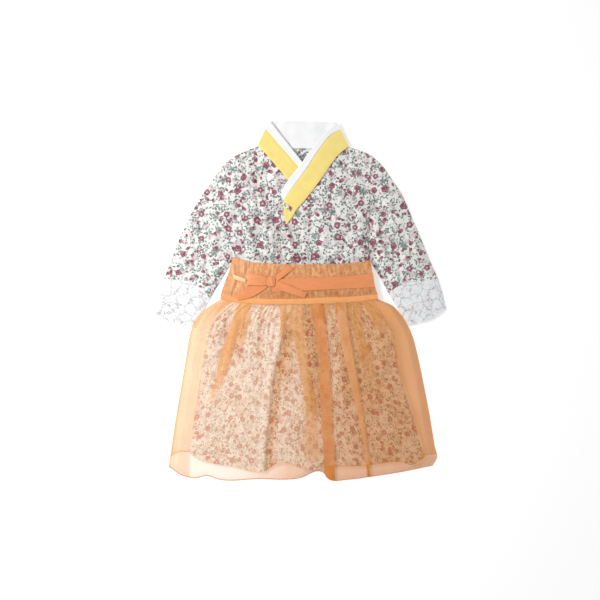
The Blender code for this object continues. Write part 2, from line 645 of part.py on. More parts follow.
# Colour and roughness of each cloth
FINISHES = {
    "print_top": ((0.62, 0.55, 0.53), 0.9),
    "print_skirt": ((0.60, 0.36, 0.24), 0.9),
    "lace": ((0.86, 0.85, 0.86), 0.9),
    "white": ((0.90, 0.90, 0.89), 0.85),
    "yellow": ((0.92, 0.75, 0.28), 0.8),
    "organza": ((0.86, 0.48, 0.22), 0.45),
    "organza_waist": ((0.66, 0.36, 0.16), 0.5),
    "ribbon": ((0.82, 0.33, 0.13), 0.5),
    "tab": ((0.90, 0.60, 0.36), 0.5),
    "piping": ((0.84, 0.39, 0.14), 0.5),
}


def main():
    """Build the whole set."""
    for thing in list(bpy.context.scene.objects):
        bpy.data.objects.remove(thing, do_unlink=True)
    top_panels()
    sleeves()
    collar()
    waist()
    underskirt_back()
    underskirt_front()
    overskirt_back()
    overskirt_front()
    bow()
    centre_on_origin()


main()
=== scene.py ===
"""Looks of a toddler's hanbok that lies flat and face up: a floral jacket over a skirt of two layers.

Every table and size is in millimetres on the garment's own drawing, where +Y runs from the hem to the
collar and +X is the wearer's left. MM turns them into metres, and PLACE moves them onto the frame.
"""
import logging
import math
from abc import ABC, abstractmethod
from collections.abc import Callable, Sequence
from dataclasses import dataclass, field
from enum import Enum

import bpy
import numpy as np
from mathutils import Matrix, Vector


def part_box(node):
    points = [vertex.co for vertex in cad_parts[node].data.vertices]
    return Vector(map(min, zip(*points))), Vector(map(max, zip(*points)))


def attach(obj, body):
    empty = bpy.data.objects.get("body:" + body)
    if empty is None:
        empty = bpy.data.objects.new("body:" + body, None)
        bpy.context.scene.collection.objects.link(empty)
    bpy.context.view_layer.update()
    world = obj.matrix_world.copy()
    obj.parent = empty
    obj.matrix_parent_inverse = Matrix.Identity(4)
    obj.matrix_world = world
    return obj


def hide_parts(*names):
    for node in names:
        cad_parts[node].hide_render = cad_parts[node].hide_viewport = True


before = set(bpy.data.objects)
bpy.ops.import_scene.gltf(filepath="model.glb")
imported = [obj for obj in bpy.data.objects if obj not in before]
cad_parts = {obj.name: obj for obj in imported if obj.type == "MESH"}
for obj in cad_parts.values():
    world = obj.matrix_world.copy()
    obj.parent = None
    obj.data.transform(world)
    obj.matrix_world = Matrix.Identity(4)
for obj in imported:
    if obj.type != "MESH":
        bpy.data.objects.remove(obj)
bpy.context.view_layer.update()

LOG = logging.getLogger("hanbok")
MM = 0.001

Points = Sequence[tuple[float, float]]
Array = np.ndarray
Triple = tuple[float, float, float]
TURN = 2 * math.pi
Rise = Callable[[Array, Array], Array]


@dataclass(frozen=True)
class Outline:
    """Edges of a panel, or of a band, whose inner edge is its top.

    Attributes:
        top: Edge at the top, from left to right.
        bottom: Edge at the bottom, from left to right.
        left: Edge at the left, from the top down, or None when it is straight.
        right: The same at the right.
    """

    top: Points
    bottom: Points
    left: Points | None = None
    right: Points | None = None


# Seam lines that two pieces share
ARMHOLE_RIGHT = ((-86, 239.5), (-82, 220), (-80, 190), (-80, 150), (-84, 112), (-94, 82), (-108, 63))
ARMHOLE_LEFT = ((116.5, 230), (114, 208), (113, 180), (112, 140), (110.5, 100), (110.5, 80), (112.5, 62))
SIDE_RIGHT = ((-112, 40), (-118, 13))
SIDE_LEFT = ((115.5, 38), (119, 13))
CUFF_EDGE_X = -233.9
COLLAR_TOP_Y = 287.0

PLACE = np.array([
    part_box("cuff_right")[0].x / MM - CUFF_EDGE_X,
    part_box("edging_back")[1].y / MM - COLLAR_TOP_Y,
    0.0,
])


# ---- curves and grids

def ease(amount: Array | float) -> Array:
    """Smooth step: 0 below 0, 1 above 1, and 3t^2 - 2t^3 between them."""
    amount = np.clip(amount, 0.0, 1.0)
    return amount * amount * (3.0 - 2.0 * amount)


def bell(beside: Array, width: float) -> Array:
    """Bell exp(-s^2) of a distance in widths: 1 in its middle."""
    return np.exp(-(beside / width) ** 2)


def rgb(red: float, green: float, blue: float) -> Triple:
    """Scene-linear colour of an 8-bit screen colour, by the sRGB curve."""
    share = np.array([red, green, blue]) / 255.0
    found = np.where(share > 0.04045, ((share + 0.055) / 1.055) ** 2.4, share / 12.92)
    return tuple(float(value) for value in found)


def lengths(path: Array) -> Array:
    """Distance run along a line of points, at each of them."""
    return np.concatenate([[0.0], np.cumsum(np.linalg.norm(np.diff(path, axis=0), axis=-1))])


def paired(first: Array, second: Array) -> Array:
    """Points from their two parts, either of which may be one row or one column."""
    return np.stack(np.broadcast_arrays(first, second), axis=-1)


def smooth_curve(points: Points) -> Array:
    """Dense points of the cubic that runs through a table's points.

    Each span is a Hermite cubic over its chord, and the slope at a point is that of the parabola
    through it and its two neighbours.

    Args:
        points: Plan points in order.

    Returns:
        Array of n x 2 points.
    """
    path = np.array(points, dtype=float)
    if len(path) == 2:
        return path
    knots = lengths(path)
    slopes = np.gradient(path, knots, axis=0)
    at = np.linspace(0.0, knots[-1], 24 * len(path))
    span = np.clip(np.searchsorted(knots, at, side="right") - 1, 0, len(path) - 2)
    length = (knots[span + 1] - knots[span])[:, None]
    t = (at - knots[span])[:, None] / length
    return ((1 + 2 * t) * (1 - t) ** 2 * path[span] + t * (1 - t) ** 2 * length * slopes[span]
            + t ** 2 * (3 - 2 * t) * path[span + 1] + t ** 2 * (t - 1) * length * slopes[span + 1])


def along(points: Points, part: Array) -> Array:
    """Points at the given parts, 0 to 1, of a smooth curve's length."""
    path = smooth_curve(points)
    reach = lengths(path)
    reach /= reach[-1]
    return paired(np.interp(part, reach, path[:, 0]), np.interp(part, reach, path[:, 1]))


def parts(count: int, rim: float = 0.0) -> Array:
    """Even parts from 0 to 1, with one more part just inside each end when a rim is given."""
    even = np.linspace(0.0, 1.0, count + 1)
    if rim:
        even = np.concatenate([[0.0, rim], even[1:-1], [1.0 - rim, 1.0]])
    return even


def patch(sides: Outline, across: Array, down: Array) -> Array:
    """Plan points that fill four edges.

    It is a Coons patch: the blend of top and bottom, plus the blend of left and right, less the
    bilinear blend of the four corners.

    Args:
        sides: The four edges.
        across: Parts from the left edge on.
        down: Parts from the top edge on.

    Returns:
        Rows x columns x 2 points.
    """
    top = along(sides.top, across)[None, :, :]
    bottom = along(sides.bottom, across)[None, :, :]
    left = along(sides.left or (sides.top[0], sides.bottom[0]), down)[:, None, :]
    right = along(sides.right or (sides.top[-1], sides.bottom[-1]), down)[:, None, :]
    u = across[None, :, None]
    v = down[:, None, None]
    corners = ((1 - v) * ((1 - u) * top[:, :1] + u * top[:, -1:])
               + v * ((1 - u) * bottom[:, :1] + u * bottom[:, -1:]))
    return (1 - v) * top + v * bottom + (1 - u) * left + u * right - corners


def places(plan: Array) -> tuple[Array, Array]:
    """Plan points across and up, as two arrays."""
    return plan[..., 0], plan[..., 1]


def raised(plan: Array, height: Array) -> Array:
    """Surface points from plan points and their heights."""
    return np.concatenate([plan, np.broadcast_to(height, plan.shape[:2])[..., None]], axis=-1)


def normals(surface: Array) -> Array:
    """Unit normals of a grid: the cross product of its slopes down the rows and along the columns."""
    down = np.gradient(surface, axis=0)
    across = np.gradient(surface, axis=1)
    found = np.cross(down, across)
    return found / np.maximum(np.linalg.norm(found, axis=-1, keepdims=True), 1e-9)


# ---- folds

class Fold(Enum):
    """Shape of a crease across its line."""

    RIDGE = "ridge"
    TROUGH = "trough"
    TUCK = "tuck"


@dataclass(frozen=True)
class Crease:
    """One listed crease.

    Attributes:
        start: Plan point where it begins.
        end: Plan point where it runs out.
        width: Distance across which it falls away.
        size: Its height or depth.
        bow: How far its middle bends to its left.
        kind: Its shape across.
        taper: Shares of its length over which it rises and dies out.
    """

    start: tuple[float, float]
    end: tuple[float, float]
    width: float
    size: float
    bow: float = 0.0
    kind: Fold = Fold.RIDGE
    taper: tuple[float, float] = (0.25, 0.35)

    def height(self, x: Array, y: Array) -> Array:
        """Height over the plan.

        A bell exp(-s^2) of the distance s from a bowed line, eased in and out along it. A tuck
        falls away slowly on its left and steeply on its right.

        Args:
            x: Plan points across.
            y: Plan points up.

        Returns:
            Height at each point.
        """
        step = np.subtract(self.end, self.start)
        length = float(np.hypot(*step))
        out_x = x - self.start[0]
        out_y = y - self.start[1]
        t = (out_x * step[0] + out_y * step[1]) / length ** 2
        inside = np.clip(t, 0.0, 1.0)
        side = (out_y * step[0] - out_x * step[1]) / length - self.bow * 4 * inside * (1 - inside)
        s = side / self.width
        if self.kind is Fold.TUCK:
            across = np.where(s > 0, np.exp(-1.3 * np.abs(s)), np.exp(-5.0 * np.abs(s)))
        else:
            across = np.exp(-s * s)
        sign = -1.0 if self.kind is Fold.TROUGH else 1.0
        return sign * self.size * across * ease(t / self.taper[0]) * ease((1.0 - t) / self.taper[1])


def folds(*rows: tuple) -> tuple[Crease, ...]:
    """Creases from rows of both ends, width, size and bow, and perhaps a kind and a taper."""
    return tuple(Crease(row[:2], row[2:4], *row[4:8], row[8:] or (0.25, 0.35)) if len(row) > 7
                 else Crease(row[:2], row[2:4], *row[4:]) for row in rows)


def creased(creases: Sequence[Crease]) -> Rise:
    """Sum of creases as one rise."""
    def rise(x: Array, y: Array) -> Array:
        """Summed height at each point."""
        total = np.zeros_like(x)
        for crease in creases:
            total = total + crease.height(x, y)
        return total
    return rise


def ripples(x: Array, y: Array, seed: int, span: float, height: float) -> Array:
    """Slow uneven waves of cloth at rest: a sum of seeded sines in many directions."""
    draw = np.random.default_rng(seed)
    total = np.zeros_like(x)
    for _ in range(7):
        turn = draw.uniform(0.0, math.pi)
        wave = span * draw.uniform(0.6, 1.7)
        total = total + np.sin(TURN * (x * math.cos(turn) + y * math.sin(turn)) / wave
                               + draw.uniform(0.0, TURN))
    return height * total / math.sqrt(7.0)


# ---- how the layers climb over each other

def waist_lift(x: Array, y: Array) -> Array:
    """Rise of the jacket where it lies on the back of the waistband."""
    return 3.0 * ease((95.0 - y) / 30.0)


def wrap_lift(x: Array, y: Array) -> Array:
    """Rise of the overlap across the underlap and the underlap's collar."""
    return (2.0 + 1.2 * ease((y - 90.0) / 60.0)) * ease((95.0 - x) / 71.0)


def waist_dome(x: Array, y: Array) -> Array:
    """Rise of the waist pieces over both fronts."""
    return 2.1 * ease((95.0 - x) / 71.0) * ease((x + 95.0) / 60.0)


def cuff_lift(x: Array, y: Array) -> Array:
    """Rise of the skirts over the inner corners of the cuffs."""
    return 3.4 * ease((np.abs(x) - 100.0) / 48.0) * ease((y + 110.0) / 60.0)


# ---- meshes

@dataclass
class Draft:
    """Grids of cloth nodes that become one mesh.

    A node has a point, its place on the flat cut, a fullness, which is how many layers of cloth lie
    there, and a painted shade, which is how much the colour is darkened where shade falls: in folds,
    under other cloth and away from the key light. Nodes that share a weld number become one vertex,
    and keep their own place on the cut.
    """

    points: list[Array] = field(default_factory=list)
    cuts: list[Array] = field(default_factory=list)
    fullness: list[Array] = field(default_factory=list)
    shades: list[Array] = field(default_factory=list)
    welds: list[Array] = field(default_factory=list)
    faces: list[Array] = field(default_factory=list)
    cloth: list[Array] = field(default_factory=list)
    count: int = 0

    def grid(self, surface: Array, cut: Array, fullness: Array | float = 1.0,
             shade: Array | float = 0.0, ring: bool = False) -> Array:
        """Add a grid of nodes.

        Args:
            surface: Rows x columns x 3 points.
            cut: Their places on the flat cut.
            fullness: Layers at each, or one number.
            shade: Painted shade at each, or one number.
            ring: Whether the last column is welded to the first.

        Returns:
            The node numbers.
        """
        rows, columns = surface.shape[:2]
        numbers = self.count + np.arange(rows * columns).reshape(rows, columns)
        weld = numbers.copy()
        if ring:
            weld[:, -1] = weld[:, 0]
        self.points.append(surface.reshape(-1, 3))
        self.cuts.append(cut.reshape(-1, 2))
        self.fullness.append(np.broadcast_to(fullness, (rows, columns)).reshape(-1))
        self.shades.append(np.broadcast_to(shade, (rows, columns)).reshape(-1))
        self.welds.append(weld.reshape(-1))
        self.count += rows * columns
        return numbers

    def skin(self, numbers: Array, outward: bool = True, cloth: bool = False) -> None:
        """Quads over a grid, facing up its normals or down them; cloth marks the cut's own layer."""
        quads = np.stack([numbers[:-1, :-1], numbers[1:, :-1], numbers[1:, 1:], numbers[:-1, 1:]],
                         axis=-1).reshape(-1, 4)
        self.faces.append(quads if outward else quads[:, ::-1])
        if cloth:
            self.cloth.append(quads)

    def wall(self, upper: Array, lower: Array) -> None:
        """Quads between two lines of nodes, seen from the side where the upper line runs to the left."""
        self.faces.append(np.stack([upper[:-1], lower[:-1], lower[1:], upper[1:]], axis=-1))

    def shell(self, surface: Array, cut: Array, thick: float,
              fullness: Array | float = 1.0, shade: Array | float = 0.0) -> None:
        """Closed cloth: the given upper surface, the same moved in along its normals, and four rims."""
        high = self.grid(surface, cut, fullness, shade)
        self.close(high, self.grid(surface - normals(surface) * thick, cut, fullness, shade))

    def close(self, high: Array, low: Array) -> None:
        """Skins over two like grids, of which the upper one is the cut's own layer, and four rims."""
        self.skin(high, cloth=True)
        self.skin(low, outward=False)
        self.wall(high[0, ::-1], low[0, ::-1])
        self.wall(high[-1], low[-1])
        self.wall(high[:, 0], low[:, 0])
        self.wall(high[::-1, -1], low[::-1, -1])

    def flat_cut(self) -> tuple[tuple[float, float], float]:
        """Width and length of the cut's bounding box in metres, and its area in square metres."""
        cuts = np.concatenate(self.cuts)
        quads = np.concatenate(self.cloth)
        corners = cuts[quads]
        first = corners[:, 2] - corners[:, 0]
        second = corners[:, 3] - corners[:, 1]
        area = 0.5 * np.abs(first[:, 0] * second[:, 1] - first[:, 1] * second[:, 0]).sum()
        used = cuts[np.unique(quads)]
        width, length = np.ptp(used, axis=0) * MM
        return (float(width), float(length)), float(area * MM * MM)

    def mesh(self, name: str) -> bpy.types.Mesh:
        """The finished mesh in metres on the frame, with its cut as a UV map, its fullness and its painted
        shade.
        """
        points = (np.concatenate(self.points) + PLACE) * MM
        cuts = np.concatenate(self.cuts) * MM
        used, vertex = np.unique(np.concatenate(self.welds), return_inverse=True)
        faces = np.concatenate(self.faces)
        made = bpy.data.meshes.new(name)
        made.from_pydata(points[used], [], vertex[faces])
        layer = made.uv_layers.new(name="Cut")
        layer.data.foreach_set("uv", cuts[faces.reshape(-1)].astype(np.float32).reshape(-1))
        for label, values in (("fullness", self.fullness), ("shade", self.shades)):
            attribute = made.attributes.new(label, "FLOAT", "POINT")
            attribute.data.foreach_set("value", np.concatenate(values)[used].astype(np.float32))
        made.shade_smooth()
        made.set_sharp_from_angle(angle=math.radians(60.0))
        made.update()
        return made


# ---- finishes

Value = float | tuple | bpy.types.NodeSocket


class Dye:
    """A cloth's dye: a material's node tree, with a method for each kind of step in it."""

    def __init__(self, name: str) -> None:
        """Start a material whose only shader is a Principled one."""
        self.material = bpy.data.materials.new(name)
        self.material.use_nodes = True
        self.tree = self.material.node_tree
        self.tree.nodes.clear()
        self.shader = self.tree.nodes.new("ShaderNodeBsdfPrincipled")
        output = self.tree.nodes.new("ShaderNodeOutputMaterial")
        self.tree.links.new(self.shader.outputs["BSDF"], output.inputs["Surface"])

    def feed(self, socket: bpy.types.NodeSocket, value: Value) -> None:
        """Link a socket into another one, or set its own value."""
        if isinstance(value, bpy.types.NodeSocket):
            self.tree.links.new(value, socket)
        elif socket.type == "RGBA":
            socket.default_value = (*value[:3], 1.0)
        else:
            socket.default_value = value

    def node(self, kind: str, *given: Value, **named: object) -> bpy.types.Node:
        """A new node, with its options set and its sockets fed in order or by a capitalised name."""
        made = self.tree.nodes.new(kind)
        for name, value in named.items():
            if name[0].isupper():
                self.feed(made.inputs[name], value)
            else:
                setattr(made, name, value)
        for socket, value in zip(made.inputs, given):
            self.feed(socket, value)
        return made

    def math(self, operation: str, first: Value, second: Value = 0.0, third: Value = 0.0) -> Value:
        """One arithmetic step on numbers."""
        return self.node("ShaderNodeMath", first, second, third, operation=operation).outputs[0]

    def times(self, first: Value, second: Value) -> Value:
        """Product of two numbers."""
        return self.math("MULTIPLY", first, second)

    def plus(self, first: Value, second: Value) -> Value:
        """Sum of two numbers."""
        return self.math("ADD", first, second)

    def scaled(self, value: Value, factor: float, start: float) -> Value:
        """Start plus factor times value."""
        return self.math("MULTIPLY_ADD", value, factor, start)

    def vector(self, operation: str, first: Value, second: Value = (0.0, 0.0, 0.0)) -> Value:
        """One arithmetic step on vectors."""
        made = self.node("ShaderNodeVectorMath", operation=operation)
        self.feed(made.inputs[0], first)
        self.feed(made.inputs[1], second)
        return made.outputs["Value" if operation == "LENGTH" else "Vector"]

    def enlarge(self, value: Value, factor: float) -> Value:
        """A vector times a number."""
        made = self.node("ShaderNodeVectorMath", operation="SCALE")
        self.feed(made.inputs[0], value)
        self.feed(made.inputs["Scale"], factor)
        return made.outputs["Vector"]

    def split(self, value: Value) -> tuple[Value, Value, Value]:
        """The three parts of a vector or colour."""
        return tuple(self.node("ShaderNodeSeparateXYZ", value).outputs)

    def join(self, x: Value, y: Value, z: Value = 0.0) -> Value:
        """A vector from its three parts."""
        return self.node("ShaderNodeCombineXYZ", x, y, z).outputs[0]

    def turned(self, value: Value, turn: Value) -> Value:
        """A vector turned in its plane by a share of a full circle."""
        angle = self.times(turn, TURN)
        made = self.node("ShaderNodeVectorRotate", rotation_type="Z_AXIS", Vector=value, Angle=angle)
        return made.outputs["Vector"]

    def fade(self, value: Value, low: float, high: float, first: float = 0.0, last: float = 1.0) -> Value:
        """Smooth step of a number: the first result at low and the last one at high."""
        return self.node("ShaderNodeMapRange", value, low, high, first, last,
                         interpolation_type="SMOOTHSTEP").outputs[0]

    def without(self, value: Value, low: float, high: float) -> Value:
        """Smooth step the other way: 1 at low and 0 at high."""
        return self.fade(value, low, high, 1.0, 0.0)

    def blend(self, amount: Value, low: Value, high: Value, mode: str = "MIX") -> Value:
        """Colour between two colours."""
        made = self.node("ShaderNodeMix", data_type="RGBA", blend_type=mode)
        self.feed(made.inputs[0], amount)
        self.feed(made.inputs[6], low)
        self.feed(made.inputs[7], high)
        return made.outputs[2]

    def noise(self, where: Value, span: float, detail: float = 2.0, rough: float = 0.5) -> Value:
        """Soft noise from 0 to 1 whose lumps are about a span wide, in the units of where."""
        return self.node("ShaderNodeTexNoise", Vector=where, Scale=1.0 / span, Detail=detail,
                         Roughness=rough).outputs["Fac"]

    def jostled(self, where: Value, span: float, reach: float) -> Value:
        """Places moved about by coloured noise, so that drawn edges aren't ruled."""
        made = self.node("ShaderNodeTexNoise", Vector=where, Scale=1.0 / span, Detail=1.0)
        moved = self.vector("SUBTRACT", made.outputs["Color"], (0.5, 0.5, 0.5))
        flat = self.vector("MULTIPLY", moved, (2 * reach, 2 * reach, 0.0))
        return self.vector("ADD", where, flat)

    def borders(self, where: Value, span: float) -> Value:
        """Distance to the nearest border of cells that are about a span wide, in spans."""
        return self.node("ShaderNodeTexVoronoi", voronoi_dimensions="2D", feature="DISTANCE_TO_EDGE",
                         Vector=where, Scale=1.0 / span).outputs["Distance"]

    def scatter(self, where: Value, spacing: float, jitter: float,
                seed: float) -> tuple[Value, tuple[Value, Value, Value]]:
        """Motifs strewn over the cloth.

        Args:
            where: Place on the cut.
            spacing: Mean distance between motifs.
            jitter: How far each strays from a regular net, 0 to 1.
            seed: Shift that gives the layer its own arrangement.

        Returns:
            The place measured from the nearest motif's centre, and three chances of that motif.
        """
        moved = self.vector("ADD", where, (seed, 1.7 * seed, 0.0))
        cell = self.node("ShaderNodeTexVoronoi", voronoi_dimensions="2D", Vector=moved,
                         Scale=1.0 / spacing, Randomness=jitter)
        local = self.vector("SUBTRACT", moved, cell.outputs["Position"])
        return local, self.split(cell.outputs["Color"])

    def polar(self, local: Value, turn: Value) -> tuple[Value, Value]:
        """Distance from a motif's centre, and the angle about it from a start of its own."""
        x, y, _ = self.split(local)
        angle = self.math("ARCTAN2", y, x)
        return self.vector("LENGTH", local), self.plus(angle, self.times(turn, TURN))

    def cut_place(self) -> Value:
        """Place on the flat cut, in millimetres."""
        made = self.node("ShaderNodeUVMap", uv_map="Cut")
        return self.enlarge(made.outputs["UV"], 1.0 / MM)

    def carried(self, name: str) -> Value:
        """A number that the mesh carries: the fullness, or the painted shade."""
        return self.node("ShaderNodeAttribute", attribute_name=name).outputs["Fac"]

    def bump(self, height: Value, reach: float, strength: float = 1.0) -> None:
        """Give the shader a bump whose full height is a reach in millimetres."""
        made = self.node("ShaderNodeBump", Height=height, Distance=reach * MM, Strength=strength)
        self.tree.links.new(made.outputs["Normal"], self.shader.inputs["Normal"])

    def set(self, **values: Value) -> None:
        """Set or link the shader's sockets, named with underscores for spaces."""
        for name, value in values.items():
            self.feed(self.shader.inputs[name.replace("_", " ")], value)


def weave(dye: Dye, where: Value, pitch: float) -> Value:
    """Plain weave from 0 to 1: warp and weft threads as the product of two sine waves."""
    x, y, _ = dye.split(where)
    warp = dye.math("SINE", dye.times(x, TURN / pitch))
    weft = dye.math("SINE", dye.times(y, TURN / pitch))
    return dye.scaled(dye.times(warp, weft), 0.5, 0.5)


@dataclass(frozen=True)
class Finish(ABC):
    """How one kind of cloth looks.

    Attributes:
        name: The finish's name, which is also its slot in the record.
    """

    name: str

    @abstractmethod
    def dress(self, dye: Dye) -> None:
        """Build the finish's nodes."""

    def material(self) -> bpy.types.Material:
        """The finish's material, made once."""
        found = bpy.data.materials.get("cloth_" + self.name)
        if found is None:
            dye = Dye("cloth_" + self.name)
            self.dress(dye)
            found = dye.material
        return found


@dataclass(frozen=True)
class Inks:
    """Colours of the print.

    Attributes:
        bloom: Flowers, from dark to light.
        bud: Buds, and their pale printed side.
        leaf: Leaves, from pale to darkest.
        eye: Eyes of the flowers, dark or pale.
    """

    bloom: tuple = (rgb(116, 34, 60), rgb(156, 70, 98))
    bud: tuple = (rgb(122, 42, 68), rgb(186, 120, 140))
    leaf: tuple = (rgb(184, 190, 187), rgb(132, 146, 142), rgb(76, 95, 96), rgb(56, 74, 76))
    eye: tuple = (rgb(92, 24, 50), rgb(232, 206, 212))


@dataclass(frozen=True)
class FloralLawn(Finish):
    """Cotton lawn with a small strewn print of maroon flowers, buds, pale roses, leaves and sprigs.

    Attributes:
        ground: The unprinted cloth.
        zoom: Size of the print against the cut.
        ink: Strength of the print on the ground.
        tint: Painted colour of the light that reaches it through the organza above.
        shaded: The painted shade: the tint where the cloth is in a fold or deep under other cloth.
        inks: Colours of the motifs.
    """

    ground: Triple = rgb(246, 245, 240)
    zoom: float = 1.0
    ink: float = 1.0
    tint: Triple = (1.0, 1.0, 1.0)
    shaded: Triple = (0.66, 0.62, 0.60)
    inks: Inks = Inks()

    def pale_roses(self, dye: Dye, where: Value, under: Value) -> Value:
        """Faint full roses: rings of petals that fade out at a scalloped edge."""
        local, (turn, size, chance) = dye.scatter(where, 19.0, 0.8, 311.0)
        radius, angle = dye.polar(local, turn)
        share = dye.math("DIVIDE", radius, dye.scaled(size, 3.0, 4.6))
        scallop = dye.scaled(dye.math("COSINE", dye.times(angle, 5.0)), 0.13, 0.87)
        inside = dye.without(dye.math("DIVIDE", share, scallop), 0.75, 1.1)
        swirl = dye.plus(dye.times(share, 15.0), dye.times(angle, 1.0))
        petals = dye.scaled(dye.math("SINE", swirl), 0.5, 0.5)
        rose = dye.blend(petals, rgb(238, 218, 222), rgb(206, 180, 186))
        shown = dye.times(inside, dye.scaled(dye.fade(chance, 0.15, 0.25), 0.9, 0.0))
        return dye.blend(shown, under, rose)

    def leaf_clusters(self, dye: Dye, where: Value, under: Value) -> Value:
        """Grey-green clusters of five pointed leaves with dark midribs."""
        local, (turn, size, chance) = dye.scatter(where, 37.0, 0.8, 97.0)
        radius, angle = dye.polar(local, turn)
        share = dye.math("DIVIDE", radius, dye.scaled(size, 2.6, 5.2))
        lobe = dye.math("ABSOLUTE", dye.math("COSINE", dye.times(angle, 2.5)))
        reach = dye.scaled(dye.math("POWER", lobe, 0.8), 0.52, 0.48)
        inside = dye.without(dye.math("DIVIDE", share, reach), 0.84, 1.02)
        rib_side = dye.math("ABSOLUTE", dye.math("SINE", dye.times(angle, 2.5)))
        rib = dye.without(dye.times(rib_side, radius), 0.3, 1.3)
        tone = dye.noise(where, 3.5, 1.0)
        pale, mid, deep, _ = self.inks.leaf
        leaf = dye.blend(dye.fade(tone, 0.4, 0.62), mid, pale)
        leaf = dye.blend(dye.times(rib, 0.75), leaf, deep)
        shown = dye.times(inside, dye.fade(chance, 0.10, 0.16))
        return dye.blend(shown, under, leaf)

    def sprigs(self, dye: Dye, where: Value, under: Value, spacing: float, seed: float, long: float,
               wide: float, share: float, light: Value, dark: Value) -> Value:
        """Strewn pairs of leaves.

        Each pair is one lens, |v| + u^2 < 1, folded over by |x| and leant outwards, so that two
        leaves spring from one point.

        Args:
            dye: The material's nodes.
            where: Place on the cut.
            under: Colour so far.
            spacing: Mean distance between pairs.
            seed: The layer's shift.
            long: A leaf's length.
            wide: Its width.
            share: Share of the places that have a pair.
            light: Palest leaf.
            dark: Darkest leaf.

        Returns:
            The colour with the leaves on it.
        """
        local, (turn, tone, chance) = dye.scatter(where, spacing, 1.0, seed)
        x, y, _ = dye.split(dye.turned(local, turn))
        leant = dye.turned(dye.join(dye.math("ABSOLUTE", x), y), 0.09)
        along_leaf, across_leaf, _ = dye.split(leant)
        u = dye.scaled(along_leaf, 2.0 / long, -1.15)
        v = dye.times(dye.math("ABSOLUTE", across_leaf), 2.0 / wide)
        lens = dye.plus(v, dye.times(u, u))
        inside = dye.without(lens, 0.75, 1.15)
        leaf = dye.blend(tone, light, dark)
        return dye.blend(dye.times(inside, dye.math("LESS_THAN", chance, share)), under, leaf)

    def stems(self, dye: Dye, where: Value, under: Value) -> Value:
        """Thin broken stems along the borders of wandering cells."""
        line = dye.without(dye.borders(dye.jostled(where, 9.0, 3.2), 11.0), 0.016, 0.042)
        broken = dye.fade(dye.noise(where, 6.0, 1.0), 0.48, 0.58)
        return dye.blend(dye.times(dye.times(line, broken), 0.6), under, rgb(138, 150, 146))

    def buds(self, dye: Dye, where: Value, under: Value, spacing: float, seed: float,
             share: float, size: float) -> Value:
        """Small maroon buds: ovals, some with a pink side."""
        local, (turn, tone, chance) = dye.scatter(where, spacing, 1.0, seed)
        radius, angle = dye.polar(local, turn)
        scallop = dye.scaled(dye.math("COSINE", dye.times(angle, 2.0)), 0.20, 0.82)
        reach = dye.scaled(tone, 0.9 * size, 0.75 * size)
        edge = dye.math("DIVIDE", radius, dye.times(scallop, reach))
        inside = dye.without(edge, 0.85, 1.05)
        x, y, _ = dye.split(dye.turned(local, turn))
        side = dye.fade(x, -0.4, 1.0)
        bud = dye.blend(dye.times(side, 0.7), *self.inks.bud)
        return dye.blend(dye.times(inside, dye.math("LESS_THAN", chance, share)), under, bud)

    def flowers(self, dye: Dye, where: Value, under: Value, spacing: float, seed: float,
                reach: float) -> Value:
        """Maroon five-petalled flowers, with a pink crescent and a dark or pale eye."""
        local, (turn, size, chance) = dye.scatter(where, spacing, 0.75, seed)
        radius, angle = dye.polar(local, turn)
        share = dye.math("DIVIDE", radius, dye.scaled(size, 0.35 * reach, 0.8 * reach))
        scallop = dye.scaled(dye.math("COSINE", dye.times(angle, 5.0)), 0.07, 0.91)
        edge = dye.math("DIVIDE", share, scallop)
        inside = dye.without(edge, 0.90, 1.04)
        grain = dye.noise(where, 1.6, 1.0)
        flower = dye.blend(dye.fade(grain, 0.42, 0.60), *self.inks.bloom)
        ring = dye.times(dye.fade(edge, 0.30, 0.42), dye.without(edge, 0.50, 0.64))
        half = dye.fade(dye.math("COSINE", dye.times(angle, 1.0)), -0.35, 0.35)
        flower = dye.blend(dye.times(dye.times(ring, half), 0.50), flower, rgb(218, 170, 184))
        eye = dye.without(edge, 0.16, 0.30)
        eye_colour = dye.blend(dye.math("LESS_THAN", chance, 0.45), *self.inks.eye)
        flower = dye.blend(eye, flower, eye_colour)
        return dye.blend(dye.times(inside, dye.fade(size, 0.06, 0.10)), under, flower)

    def drawn(self, dye: Dye, where: Value) -> Value:
        """The whole print, from the ground up, darkened by the painted shade and tint.

        Args:
            dye: The material's nodes.
            where: Place on the cut, in millimetres.

        Returns:
            The cloth's colour, with the painted shade and tint.
        """
        where = dye.jostled(dye.enlarge(where, 1.0 / self.zoom), 2.4, 0.5)
        tint = dye.fade(dye.noise(where, 16.0, 2.0), 0.35, 0.7)
        cool = tuple(0.86 * value for value in self.ground)
        colour = dye.blend(tint, self.ground, cool)
        colour = self.pale_roses(dye, where, colour)
        colour = self.stems(dye, where, colour)
        pale, mid, deep, darkest = self.inks.leaf
        colour = self.sprigs(dye, where, colour, 9.0, 53.0, 5.0, 2.4, 0.65, pale, mid)
        colour = self.sprigs(dye, where, colour, 10.0, 113.0, 5.4, 2.6, 0.80, pale, mid)
        colour = self.leaf_clusters(dye, where, colour)
        colour = self.sprigs(dye, where, colour, 10.0, 171.0, 5.6, 2.6, 0.72, mid, deep)
        colour = self.sprigs(dye, where, colour, 11.5, 229.0, 5.8, 2.5, 0.72, mid, darkest)
        colour = self.buds(dye, where, colour, 12.0, 401.0, 0.42, 2.2)
        colour = self.buds(dye, where, colour, 17.0, 457.0, 0.58, 3.2)
        colour = self.flowers(dye, where, colour, 31.0, 11.0, 5.6)
        # Painted shade: where the mesh's shade is high, the print is stronger and multiplied towards the
        # shaded colour; the tint is painted light through the organza.
        shade = dye.carried("shade")
        inked = dye.math("MINIMUM", dye.scaled(shade, 1.0 - self.ink, self.ink), 1.0)
        colour = dye.blend(inked, self.ground, colour)
        painted_shading = dye.blend(shade, self.tint, self.shaded)
        return dye.blend(1.0, colour, painted_shading, "MULTIPLY")

